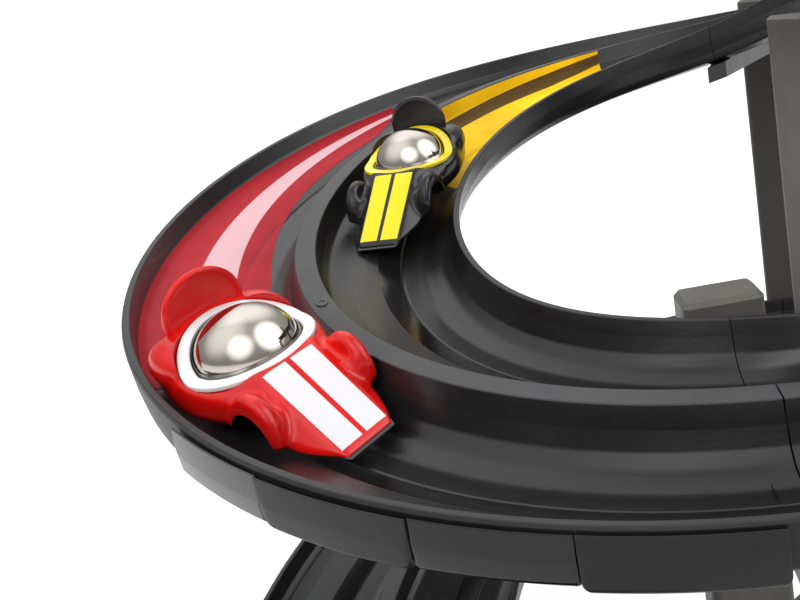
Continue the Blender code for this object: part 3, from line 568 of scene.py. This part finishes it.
def make_trail(name, edge, base, marks, outer, inner, surface, node):
    cells = 44
    heights = {}
    bm = bmesh.new()
    rows = {0.04: [], 0.14: []}
    for at in marks:
        high, low = between(outer, at), between(inner, at)
        for lift, row in rows.items():
            line = []
            for i in range(cells + 1):
                radius = high + (low - high) * i / cells
                key = round(radius, 2)
                if key not in heights:
                    heights[key] = floor_height(edge, base, key)
                line.append(bm.verts.new(on_helix(at, radius, heights[key] + lift) * MM))
            row.append(line)
    top, under = rows[0.14], rows[0.04]
    for grid in (top, under):
        for low, high in zip(grid, grid[1:]):
            for i in range(cells):
                bm.faces.new((low[i], low[i + 1], high[i + 1], high[i]))
    for column in (0, cells):
        for i in range(len(marks) - 1):
            bm.faces.new((top[i][column], top[i + 1][column], under[i + 1][column], under[i][column]))
    for row in (0, -1):
        for i in range(cells):
            bm.faces.new((top[row][i], top[row][i + 1], under[row][i + 1], under[row][i]))
    add_piece(name, bm, (surface,), "track", (node,), 40.0)


def make_trails():
    make_trail("red_trail_film", RIM_INNER, 0.0, stations(112.0, 189.0, 1.5),
               ((112.0, 174.2), (130.0, 174.0), (189.0, 174.7)),
               ((112.0, 171.0), (116.0, 163.5), (120.0, 158.5), (127.8, 156.3), (139.4, 153.1),
                (150.8, 148.3),
                (163.8, 141.5), (172.0, 140.5), (189.0, 142.0)), RED_TRAIL, "red_trail_decal")
    make_yellow_trail()


# Yellow trail: angle, then start and end of the brown band and end of the film, in mm from the divider's top
YELLOW_MARKS = (
    (77.0, 1.8, 6.6, 43.0), (90.0, 4.0, 12.4, 43.5),
    (110.0, 6.6, 14.2, 44.5), (134.0, 8.4, 15.6, 46.0),
)


def on_profile(line, at, lift):
    # Point at a distance along the lane's cross-section, lifted off its surface
    for (x1, y1, _), (x2, y2, _) in zip(line, line[1:]):
        length = math.hypot(x2 - x1, y2 - y1)
        if at <= length:
            share = at / length
            return (x1 + (x2 - x1) * share + (y2 - y1) / length * lift,
                    y1 + (y2 - y1) * share - (x2 - x1) / length * lift)
        at -= length
    return line[-1][0], line[-1][1] + lift


def make_yellow_trail():
    # The film starts at the divider's top edge and covers its wall and the lane, with a brown band between
    top = (DIVIDER_INNER, DIVIDER_RISE - 0.4, 0.0, 0)
    line = rounded([top] + lane_line(DIVIDER_INNER, DIVIDER_RISE), False)
    bands = (8, 10, 30)
    columns = sum(bands)
    bm = bmesh.new()
    grids = {0.05: [], 0.15: []}
    for at in stations(77.0, 134.0, 1.5):
        stops = [0.2] + [between([(mark[0], mark[k]) for mark in YELLOW_MARKS], at) for k in (1, 2, 3)]
        places = [stops[0]]
        for cells, start, end in zip(bands, stops, stops[1:]):
            places += [start + (end - start) * (i + 1) / cells for i in range(cells)]
        for lift, grid in grids.items():
            points = [on_profile(line, place, lift) for place in places]
            grid.append([bm.verts.new(on_helix(at, radius, height) * MM) for radius, height in points])
    under, top = grids[0.05], grids[0.15]
    for grid in (top, under):
        for low, high in zip(grid, grid[1:]):
            for i in range(columns):
                face = bm.faces.new((low[i], low[i + 1], high[i + 1], high[i]))
                face.material_index = 1 if bands[0] <= i < bands[0] + bands[1] else 0
    for i in (0, columns):
        for k in range(len(top) - 1):
            bm.faces.new((top[k][i], top[k + 1][i], under[k + 1][i], under[k][i]))
    for k in (0, -1):
        for i in range(columns):
            bm.faces.new((top[k][i], top[k][i + 1], under[k][i + 1], under[k][i]))
    add_piece("yellow_trail_film", bm, (YELLOW_TRAIL, BROWN_BAND), "track", ("yellow_trail_decal",),
              40.0)


def make_divider_dimple():
    # A shallow screw cover set in the divider
    angle, radius = 187.0, 127.7
    bm = bmesh.new()
    loops = []
    for size, lift in ((2.3, 0.02), (2.3, 0.3), (1.9, 0.42), (1.2, 0.36), (0.9, 0.1), (0.3, 0.05)):
        loop = []
        for i in range(28):
            turn = math.tau * i / 28
            shift = math.degrees(size * math.cos(turn) / radius)
            across = size * 0.72 * math.sin(turn)
            level = DIVIDER_RISE * (DIVIDER_OUTER - radius - across) / (DIVIDER_OUTER - DIVIDER_INNER)
            loop.append(bm.verts.new(on_helix(angle + shift, radius + across, level + lift) * MM))
        loops.append(loop)
    bridge(bm, loops)
    bm.faces.new(loops[-1])
    add_piece("divider_screw_cover", bm, (CHASSIS,), "track", (), 30.0)


# Cars

CARS = {
    "red": {"angle": 194.8, "radius": 153.7, "height": 1.3, "yaw": 15.0, "pitch": 10.1, "roll": 12.0},
    "black": {"angle": 142.1, "radius": 101.1, "height": 2.3, "yaw": 3.4, "pitch": 16.4, "roll": 2.0},
}
BALL_RADIUS = 13.4
# Gap round the ball in the undertray
BALL_GAP = 0.5
RING_BAND = 2.9
RING_THICKNESS = 1.5
# Canopy ring from above: half width, reach to the front and back, middle
RING_SIDE = 17.0
RING_FRONT = 15.4
RING_BACK = 15.2
RING_MIDDLE = 0.8
# Seat of the ring in the body: gap round it and reach under the collar
SEAT_GAP = 0.25
SEAT_REACH = 1.2
HOLE_GAP = 0.3
# Height over the car that its cutting shapes reach
CUT_TOP = 30.0
# Polished collar: gap to the ring, gap to the ball, highest edge, thickness
COLLAR_RING_GAP = 0.2
COLLAR_BALL_GAP = 0.25
COLLAR_TOP = 10.0
COLLAR_THICKNESS = 0.7
# Spoiler fin: radius, centre, lean in degrees, then share of the radius and depth round its section
FIN_RADIUS = 11.0
FIN_CENTRE = (-14.8, 0.0, 9.8)
FIN_LEAN = -8.0
FIN_PROFILE = (
    (0.0, 0.95), (0.35, 0.85), (0.62, 0.55), (0.8, 0.15), (0.875, 0.0), (0.925, 0.02),
    (0.965, 0.14), (0.99, 0.36), (1.0, 0.7), (1.0, 1.4), (0.985, 1.8), (0.95, 2.05),
    (0.9, 2.2), (0.6, 2.2), (0.0, 2.2),
)
# Hollow of the body: x, half width, height of its top
HOLLOW = (
    (-22.0, 6.5, 1.0), (-17.0, 8.5, 3.6), (-12.0, 12.0, 3.4), (-7.0, 15.0, 2.0), (0.0, 16.0, 0.6),
    (7.0, 15.4, 0.0), (12.0, 12.0, 0.0), (17.0, 8.6, -0.6), (28.0, 7.0, -5.6), (34.0, 6.0, -8.4),
)
# Body shell melted together, then again after the scoops: voxel size and rounds of smoothing
SHELL_MELT = (0.6, 14)
SCOOP_MELT = (0.5, 6)
# Car body stations: x, half width, half width of the flat top, crown, shoulder, bottom height
BODY_STATIONS = (
    (-26.5, 8.0, 3.5, 0.5, -1.5, -6.4), (-22.5, 12.6, 5.0, 5.6, 2.0, -7.6),
    (-16.5, 15.8, 7.0, 9.0, 3.4, -8.4), (-10.0, 17.4, 8.5, 7.4, 3.0, -8.6),
    (-4.0, 18.3, 10.0, 5.4, 2.4, -8.6), (2.0, 18.7, 11.5, 4.0, 2.0, -8.6),
    (8.0, 17.4, 11.5, 4.0, 1.0, -8.6), (13.0, 15.4, 9.0, 4.6, -0.4, -8.8),
    (17.0, 14.2, 7.8, 4.1, -2.4, -9.2), (24.0, 13.6, 7.6, 0.6, -6.0, -9.8),
    (32.0, 12.6, 7.4, -3.5, -8.4, -10.5), (38.0, 10.5, 7.2, -6.6, -9.3, -10.8),
    (42.6, 8.2, 7.2, -9.0, -9.5, -11.0), (44.4, 7.6, 6.6, -10.1, -10.4, -11.1),
)
# Rear humps: centre and half sizes
HUMPS = (((-9.5, 11.6, 1.6), (11.8, 6.7, 7.0)), ((-9.5, -11.6, 1.6), (11.8, 6.7, 7.0)))
# Front fender stations: distance from the car's middle line, half length, height of the top
FENDERS = (
    (7.6, 6.6, -2.6), (10.2, 7.8, 1.2), (12.4, 8.8, 4.0),
    (14.0, 9.3, 4.7), (15.2, 9.0, 4.1), (15.9, 8.0, 3.0),
)
FENDER_X = 21.6
FENDER_FOOT = -7.4
# Scoops behind the nose: centre and half sizes
SCOOPS = (((25.0, 10.0, 4.2), (7.5, 2.1, 5.0)), ((25.0, -10.0, 4.2), (7.5, 2.1, 5.0)))
# Wheel arches: x, inner face, half length, half height, height of the middle
ARCHES = ((21.4, 11.6, 8.4, 9.8, -9.8), (21.4, -11.6, 8.4, 9.8, -9.8),
          (-17.5, 12.4, 5.8, 5.4, -8.4), (-17.5, -12.4, 5.8, 5.4, -8.4))
# Undertray stations: x, half width, top, bottom
UNDERTRAY = (
    (-21.6, 6.0, -6.9, -8.0), (-17.0, 8.5, -6.9, -8.2), (-11.0, 13.0, -6.9, -8.3),
    (8.0, 14.0, -6.9, -8.4), (16.0, 10.2, -7.2, -8.8), (24.0, 9.8, -8.6, -9.9),
    (32.0, 9.4, -9.6, -10.5), (38.0, 8.6, -10.0, -10.7), (43.0, 7.7, -10.3, -11.0),
    (45.2, 6.8, -10.5, -11.0),
)


def car_place(car):
    turn = math.radians(car["angle"])
    ahead = Vector((-math.sin(turn), math.cos(turn), 0.0))
    inward = Vector((-math.cos(turn), -math.sin(turn), 0.0))
    basis = Matrix((ahead, inward, Vector((0.0, 0.0, 1.0)))).transposed()
    tilt = Matrix.Rotation(math.radians(car["yaw"]), 3, "Z")
    tilt = tilt @ Matrix.Rotation(math.radians(car["pitch"]), 3, "Y")
    tilt = tilt @ Matrix.Rotation(math.radians(car["roll"]), 3, "X")
    start = on_helix(car["angle"], car["radius"], car["height"])
    return Matrix.Translation(start * MM) @ (basis @ tilt).to_4x4()


def curve_through(points, steps):
    # Catmull-Rom curve through rows of numbers, with the given number of steps between two of them
    result = []
    rows = [points[0]] + list(points) + [points[-1]]
    for p0, p1, p2, p3 in zip(rows, rows[1:], rows[2:], rows[3:]):
        for k in range(steps):
            t = k / steps
            result.append(tuple(
                0.5 * (2 * b + (c - a) * t + (2 * a - 5 * b + 4 * c - d) * t * t
                       + (3 * b - a - 3 * c + d) * t ** 3)
                for a, b, c, d in zip(p0, p1, p2, p3)))
    result.append(tuple(points[-1]))
    return result


def body_ring(x, half, flat, crown, shoulder, bottom):
    low = min(3.4, 0.5 * (shoulder - bottom))
    right = [(0.6 * half, bottom, 1.0), (0.9 * half, bottom + 0.25 * low, 1.5), (half, bottom + low, 2.0),
             (0.985 * half, shoulder, 1.8), (flat, crown, 1.6)]
    corners = [(y, z, fillet, 0) for y, z, fillet in right]
    corners += [(-y, z, fillet, 0) for y, z, fillet in reversed(right)]
    return [Vector((x, y, z)) for y, z, _ in even_ring(corners, 64)]


def fender_ring(side, across, half, top):
    # Half-round wheel cover beside the hood, seen from the side
    ring = []
    for i in range(48):
        turn = math.tau * (i + 0.5) / 48
        rise = math.sin(turn)
        height = FENDER_FOOT + (top - FENDER_FOOT) * rise if rise > 0 else FENDER_FOOT + rise * 0.8
        ring.append(Vector((FENDER_X + half * math.cos(turn), side * across, height)))
    return ring


def even_ring(corners, count):
    # The rounded outline, resampled to points at even distances
    line = rounded(corners, True, 12.0)
    line.append(line[0])
    lengths = [0.0]
    for (x1, y1, _), (x2, y2, _) in zip(line, line[1:]):
        lengths.append(lengths[-1] + math.hypot(x2 - x1, y2 - y1))
    result = []
    k = 0
    for i in range(count):
        goal = lengths[-1] * i / count
        while lengths[k + 1] < goal:
            k += 1
        share = (goal - lengths[k]) / max(lengths[k + 1] - lengths[k], 1e-9)
        (x1, y1, _), (x2, y2, _) = line[k], line[k + 1]
        result.append((x1 + (x2 - x1) * share, y1 + (y2 - y1) * share, 0))
    return result


def tool_object(name, bm, surface):
    mesh = bpy.data.meshes.new(name)
    bmesh.ops.recalc_face_normals(bm, faces=bm.faces)
    bm.to_mesh(mesh)
    bm.free()
    mesh.materials.append(surface)
    made = bpy.data.objects.new(name, mesh)
    bpy.context.scene.collection.objects.link(made)
    return made


def ellipsoid(bm, centre, size, around=40, rows=24):
    place = Matrix.Translation(Vector(centre) * MM) @ Matrix.Diagonal((*[s * MM for s in size], 1.0))
    bmesh.ops.create_uvsphere(bm, u_segments=around, v_segments=rows, radius=1.0, matrix=place)


def apply_modifiers(target):
    depsgraph = bpy.context.evaluated_depsgraph_get()
    made = bpy.data.meshes.new_from_object(target.evaluated_get(depsgraph))
    target.modifiers.clear()
    old = target.data
    target.data = made
    bpy.data.meshes.remove(old)


def carve(target, tool, operation="DIFFERENCE"):
    cut = target.modifiers.new("cut", "BOOLEAN")
    cut.operation = operation
    cut.object = tool
    cut.solver = "EXACT"
    cut.material_mode = "TRANSFER"
    apply_modifiers(target)
    bpy.data.objects.remove(tool)


def melt(target, voxel, rounds):
    # One closed skin with softened creases
    skin = target.modifiers.new("skin", "REMESH")
    skin.mode = "VOXEL"
    skin.voxel_size = voxel * MM
    soft = target.modifiers.new("soft", "SMOOTH")
    soft.iterations = rounds
    soft.factor = 0.5
    apply_modifiers(target)


def loft_into(bm, rings):
    loops = [[bm.verts.new(point * MM) for point in ring] for ring in rings]
    bridge(bm, loops)
    for loop in (loops[0], loops[-1]):
        bm.faces.new(loop)


def ring_outline(inset, count=144):
    # Canopy ring from above, with its top height at each point
    points = []
    for i in range(count):
        turn = math.tau * (i + 0.5) / count
        y = (RING_SIDE - inset * 1.12) * math.sin(turn)
        share = abs(math.cos(turn))
        if math.cos(turn) > 0:
            points.append((RING_MIDDLE + (RING_FRONT - inset) * share ** 0.88, y, 2.8 + 1.4 * share ** 1.3))
        else:
            points.append((RING_MIDDLE - (RING_BACK - inset) * share ** 1.1, y, 2.8 + 6.3 * share ** 1.3))
    return points


def band_into(bm, profile):
    # Closed band over the ring outline from (inset, rise) corners
    loops = []
    for inset, rise in profile:
        points = [Vector((x, y, top - RING_THICKNESS + rise)) for x, y, top in ring_outline(inset)]
        loops.append([bm.verts.new(point * MM) for point in points])
    bridge(bm, loops, True)


def make_body(name, place):
    paint = PAINTS[name]
    bm = bmesh.new()
    loft_into(bm, [body_ring(*row) for row in curve_through(BODY_STATIONS, 8)])
    for centre, size in HUMPS:
        ellipsoid(bm, centre, size)
    for side in (1, -1):
        loft_into(bm, [fender_ring(side, *row) for row in curve_through(FENDERS, 3)])
    body = tool_object(name + "_car_body_shell", bm, paint)
    melt(body, *SHELL_MELT)
    for centre, size in SCOOPS:
        cutter = bmesh.new()
        ellipsoid(cutter, centre, size)
        carve(body, tool_object("scoop", cutter, paint))
    melt(body, *SCOOP_MELT)
    cavity = bmesh.new()
    rings = []
    for x, half, top in HOLLOW:
        rings.append([Vector((x, y, z)) for y, z in ((half, -20.0), (half, top - 1.6), (half - 1.6, top),
                                                    (1.6 - half, top), (-half, top - 1.6), (-half, -20.0))])
    loft_into(cavity, rings)
    carve(body, tool_object("cavity", cavity, CHASSIS))
    hole = bmesh.new()
    inside = ring_outline(RING_BAND + HOLE_GAP)
    loft_into(hole, [[Vector((x, y, z)) for x, y, _ in inside] for z in (-7.0, CUT_TOP)])
    carve(body, tool_object("window", hole, CHASSIS))
    seat = bmesh.new()
    band_into(seat, ((-SEAT_GAP, -SEAT_GAP), (-SEAT_GAP, CUT_TOP),
                     (RING_BAND + SEAT_REACH, CUT_TOP), (RING_BAND + SEAT_REACH, -SEAT_GAP)))
    carve(body, tool_object("seat", seat, paint))
    for x, y, length, height, middle in ARCHES:
        arch = bmesh.new()
        turns = [math.tau * (i + 0.5) / 64 for i in range(64)]
        loft_into(arch, [[Vector((x + length * math.cos(turn), side, middle + height * math.sin(turn)))
                          for turn in turns] for side in (y, math.copysign(CUT_TOP, y))])
        carve(body, tool_object("arch", arch, CHASSIS))
    finish_car_piece(body, place, name + "_car", name + "_car_body", 38.0)


def make_undertray(name, place):
    # Black plate under the body, which shows as a lip under the nose
    rings = []
    for x, half, top, bottom in curve_through(UNDERTRAY, 4):
        corners = [(0.8 * half, bottom, 0.4, 0), (half + 0.3, top, 0.3, 0), (-half - 0.3, top, 0.3, 0),
                   (-0.8 * half, bottom, 0.4, 0)]
        rings.append([Vector((x, y, z)) for y, z, _ in rounded(corners, True, 30.0)])
    bm = bmesh.new()
    loft_into(bm, rings)
    plate = tool_object(name + "_car_undertray", bm, CHASSIS)
    ball = bmesh.new()
    bmesh.ops.create_uvsphere(ball, u_segments=64, v_segments=32, radius=(BALL_RADIUS + BALL_GAP) * MM)
    carve(plate, tool_object("ball_opening", ball, CHASSIS))
    finish_car_piece(plate, place, name + "_car", name + "_car_chassis", 35.0)


def finish_car_piece(piece, place, body, node, sharp):
    piece.data.shade_smooth()
    piece.data.set_sharp_from_angle(angle=math.radians(sharp))
    piece.matrix_world = place
    bpy.context.view_layer.update()
    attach(piece, body)
    if node:
        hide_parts(node)


def make_ring(name, place):
    corners = [(0.0, 0.0, 0.3, 0), (0.0, RING_THICKNESS, 0.55, 0),
               (RING_BAND, RING_THICKNESS, 0.55, 0), (RING_BAND, 0.0, 0.3, 0)]
    profile = [(inset, rise) for inset, rise, _ in rounded(corners, True, 18.0)]
    bm = bmesh.new()
    band_into(bm, profile)
    add_piece(name + "_car_canopy_band", bm, (RINGS[name],), name + "_car", (name + "_car_canopy_ring",),
              50.0, place)


def make_liner(name, place):
    # Polished collar from inside the canopy ring up to the ball
    bm = bmesh.new()
    count = 96
    loops = []
    for share, drop in ((0.0, 0.0), (0.5, 0.0), (1.0, 0.0), (1.0, 0.5),
                        (0.5, COLLAR_THICKNESS), (0.0, COLLAR_THICKNESS)):
        loop = []
        for x, y, top in ring_outline(RING_BAND + COLLAR_RING_GAP, count):
            lip = min(top + 0.5, COLLAR_TOP)
            across = math.hypot(x, y)
            inner = math.sqrt(BALL_RADIUS ** 2 - lip ** 2) + COLLAR_BALL_GAP
            scale = 1.0 + (inner / across - 1.0) * share
            height = top - 0.6 + (lip - top + 0.6) * share - drop
            loop.append(bm.verts.new(Vector((x * scale, y * scale, height)) * MM))
        loops.append(loop)
    bridge(bm, loops, True)
    add_piece(name + "_car_collar", bm, (COLLAR,), name + "_car", (), 50.0, place)


def make_ball(name, place):
    bm = bmesh.new()
    bmesh.ops.create_uvsphere(bm, u_segments=96, v_segments=48, radius=BALL_RADIUS * MM)
    add_piece(name + "_ball_polished", bm, (CHROME,), name + "_ball", (name + "_car_ball",),
              60.0, place)


def make_spoiler(name, place):
    # Round dished fin behind the ball, with a thick rolled rim
    lean = Matrix.Rotation(math.radians(FIN_LEAN), 3, "Y")
    centre = Vector(FIN_CENTRE)
    bm = bmesh.new()
    count = 96
    loops = []
    for share, depth in FIN_PROFILE:
        if share == 0.0:
            loops.append([bm.verts.new((centre + lean @ Vector((-depth, 0.0, 0.0))) * MM)])
            continue
        loop = []
        for i in range(count):
            turn = math.tau * i / count
            reach = FIN_RADIUS * share
            point = Vector((-depth, reach * math.cos(turn), reach * math.sin(turn)))
            loop.append(bm.verts.new((centre + lean @ point) * MM))
        loops.append(loop)
    for low, high in zip(loops, loops[1:]):
        for i in range(count):
            j = (i + 1) % count
            if len(low) == 1:
                bm.faces.new((low[0], high[i], high[j]))
            elif len(high) == 1:
                bm.faces.new((low[j], low[i], high[0]))
            else:
                bm.faces.new((low[i], low[j], high[j], high[i]))
    add_piece(name + "_car_fin", bm, (SHELLS[name],), name + "_car", (name + "_car_spoiler",),
              50.0, place)


def make_car(name):
    place = car_place(CARS[name])
    make_body(name, place)
    make_undertray(name, place)
    make_ring(name, place)
    make_liner(name, place)
    make_ball(name, place)
    make_spoiler(name, place)


# CAD nodes that stay, with their materials

def dress(nodes, surface):
    for name in nodes:
        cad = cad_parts[name]
        cad.data.materials.clear()
        cad.data.materials.append(surface)


def dress_nodes():
    posts = ("front_column", "rear_column", "front_mast", "right_mast", "lower_leg")
    feet = ("front_column_foot", "rear_column_foot", "front_mast_foot", "right_mast_foot")
    saddles = ("front_saddle", "rear_saddle_lower", "rear_saddle_upper", "front_mast_saddle",
               "right_mast_saddle_lower", "right_mast_saddle_upper", "start_shelf")
    runs = ("finish_foot_1", "finish_foot_2", "finish_foot_3", "finish_foot_4",
            "finish_stop", "start_back_wall")
    dress(posts + feet, COLUMN)
    dress(saddles + runs, TRIM)
    dress(("gate_post_inner", "gate_post_outer"), TRIM)
    dress(("start_gate",), GATE)
    dress(("red_car_ball_cage", "black_car_ball_cage"), CHASSIS)


# Stage, light and camera

def make_stage():
    floor_surface = bpy.data.materials.new("pale_floor")
    floor_surface.use_nodes = True
    tree = floor_surface.node_tree
    tree.nodes.clear()
    path = tree.nodes.new("ShaderNodeLightPath")
    shadowed = tree.nodes.new("ShaderNodeBsdfDiffuse")
    shadowed.inputs["Color"].default_value = (0.4, 0.4, 0.4, 1.0)
    glow = tree.nodes.new("ShaderNodeEmission")
    seen = tree.nodes.new("ShaderNodeMath")
    seen.operation = "MAXIMUM"
    seen_too = tree.nodes.new("ShaderNodeMath")
    seen_too.operation = "MAXIMUM"
    strength = tree.nodes.new("ShaderNodeMath")
    strength.operation = "MULTIPLY"
    strength.inputs[1].default_value = 0.9
    both = tree.nodes.new("ShaderNodeAddShader")
    out = tree.nodes.new("ShaderNodeOutputMaterial")
    tree.links.new(path.outputs["Is Camera Ray"], seen.inputs[0])
    tree.links.new(path.outputs["Is Glossy Ray"], seen.inputs[1])
    tree.links.new(seen.outputs[0], seen_too.inputs[0])
    tree.links.new(path.outputs["Is Transmission Ray"], seen_too.inputs[1])
    tree.links.new(seen_too.outputs[0], strength.inputs[0])
    tree.links.new(strength.outputs[0], glow.inputs["Strength"])
    tree.links.new(shadowed.outputs[0], both.inputs[0])
    tree.links.new(glow.outputs[0], both.inputs[1])
    tree.links.new(both.outputs[0], out.inputs["Surface"])
    mesh = bpy.data.meshes.new("floor")
    reach = 6.0
    mesh.from_pydata([(-reach, -reach, 0.0), (reach, -reach, 0.0),
                      (reach, reach, 0.0), (-reach, reach, 0.0)],
                     [], [(0, 1, 2, 3)])
    mesh.materials.append(floor_surface)
    floor = bpy.data.objects.new("floor", mesh)
    bpy.context.scene.collection.objects.link(floor)


# Soft boxes that only reflections see: direction, how wide, how bright
SOFT_BOXES = (
    ((-0.25, -0.78, 0.55), 0.84, 1.9), ((-0.62, -0.1, 0.78), 0.66, 0.8), ((0.1, 0.55, 0.83), 0.74, 1.1),
    ((0.7, -0.38, 0.56), 0.8, 3.2),
)


def make_world():
    world = bpy.data.worlds.new("studio")
    bpy.context.scene.world = world
    world.use_nodes = True
    tree = world.node_tree
    tree.nodes.clear()

    def math_node(operation, one, two):
        node = tree.nodes.new("ShaderNodeMath")
        node.operation = operation
        for socket, value in zip(node.inputs, (one, two)):
            if isinstance(value, float):
                socket.default_value = value
            else:
                tree.links.new(value, socket)
        return node.outputs[0]

    path = tree.nodes.new("ShaderNodeLightPath")
    around = tree.nodes.new("ShaderNodeTexCoord").outputs["Generated"]
    height = tree.nodes.new("ShaderNodeSeparateXYZ")
    tree.links.new(around, height.inputs[0])
    rise = tree.nodes.new("ShaderNodeMapRange")
    rise.inputs["From Min"].default_value = -0.1
    rise.inputs["From Max"].default_value = 0.9
    rise.inputs["To Min"].default_value = 0.3
    rise.inputs["To Max"].default_value = 0.7
    tree.links.new(height.outputs[2], rise.inputs[0])
    boxes = 0.0
    for direction, width, bright in SOFT_BOXES:
        facing = tree.nodes.new("ShaderNodeVectorMath")
        facing.operation = "DOT_PRODUCT"
        facing.inputs[1].default_value = Vector(direction).normalized()
        tree.links.new(around, facing.inputs[0])
        edge = tree.nodes.new("ShaderNodeMapRange")
        edge.interpolation_type = "SMOOTHSTEP"
        edge.inputs["From Min"].default_value = width
        edge.inputs["From Max"].default_value = 1.0
        edge.inputs["To Max"].default_value = bright
        tree.links.new(facing.outputs["Value"], edge.inputs[0])
        boxes = math_node("ADD", edge.outputs[0], boxes)
    seen = math_node("MULTIPLY", boxes, path.outputs["Is Glossy Ray"])
    soft = tree.nodes.new("ShaderNodeBackground")
    tree.links.new(math_node("ADD", rise.outputs[0], seen), soft.inputs["Strength"])
    white = tree.nodes.new("ShaderNodeBackground")
    for node in (soft, white):
        node.inputs["Color"].default_value = (1.0, 1.0, 1.0, 1.0)
    white.inputs["Strength"].default_value = 1.0
    mixed = tree.nodes.new("ShaderNodeMixShader")
    out = tree.nodes.new("ShaderNodeOutputWorld")
    plain = math_node("MAXIMUM", path.outputs["Is Camera Ray"], path.outputs["Is Transmission Ray"])
    tree.links.new(plain, mixed.inputs[0])
    tree.links.new(soft.outputs[0], mixed.inputs[1])
    tree.links.new(white.outputs[0], mixed.inputs[2])
    tree.links.new(mixed.outputs[0], out.inputs["Surface"])


def add_lamp(name, place, aim, size, power):
    light = bpy.data.lights.new(name, "AREA")
    light.shape = "RECTANGLE"
    light.size, light.size_y = size
    light.energy = power
    lamp = bpy.data.objects.new(name, light)
    lamp.location = place
    lamp.rotation_euler = (Vector(aim) - Vector(place)).to_track_quat("-Z", "Y").to_euler()
    lamp.visible_glossy = False
    bpy.context.scene.collection.objects.link(lamp)


def make_lights():
    add_lamp("key_left", (-0.9, -0.5, 1.3), (-0.08, 0.0, 0.2), (1.3, 1.1), 16.0)
    add_lamp("fill_right", (1.0, -1.2, 1.0), (0.0, -0.05, 0.2), (1.2, 0.9), 7.0)
    add_lamp("top_back", (0.3, 1.0, 1.3), (0.0, 0.0, 0.2), (1.6, 0.8), 12.0)


def make_camera():
    yaw, pitch, roll = CAMERA_YAW, -CAMERA_PITCH, CAMERA_ROLL
    ahead = Vector((math.sin(yaw) * math.cos(pitch), math.cos(yaw) * math.cos(pitch), math.sin(pitch)))
    level = Vector((math.cos(yaw), -math.sin(yaw), 0.0))
    lift = level.cross(ahead)
    right = level * math.cos(roll) + lift * math.sin(roll)
    up = lift * math.cos(roll) - level * math.sin(roll)
    lens = bpy.data.cameras.new("photo_camera")
    lens.sensor_width = 36.0
    lens.lens = CAMERA_LENS
    lens.shift_x, lens.shift_y = CAMERA_SHIFT
    lens.clip_start = 0.01
    lens.clip_end = 20.0
    camera = bpy.data.objects.new("photo_camera", lens)
    turn = Matrix((right, up, -ahead)).transposed().to_4x4()
    camera.matrix_world = Matrix.Translation(Vector(CAMERA_PLACE) * MM) @ turn
    bpy.context.scene.collection.objects.link(camera)
    bpy.context.scene.camera = camera


make_track()
make_panels()
make_trails()
make_divider_dimple()
for car_name in CARS:
    make_car(car_name)
dress_nodes()
make_stage()
make_world()
make_lights()
make_camera()
bpy.context.scene.view_settings.view_transform = "Standard"
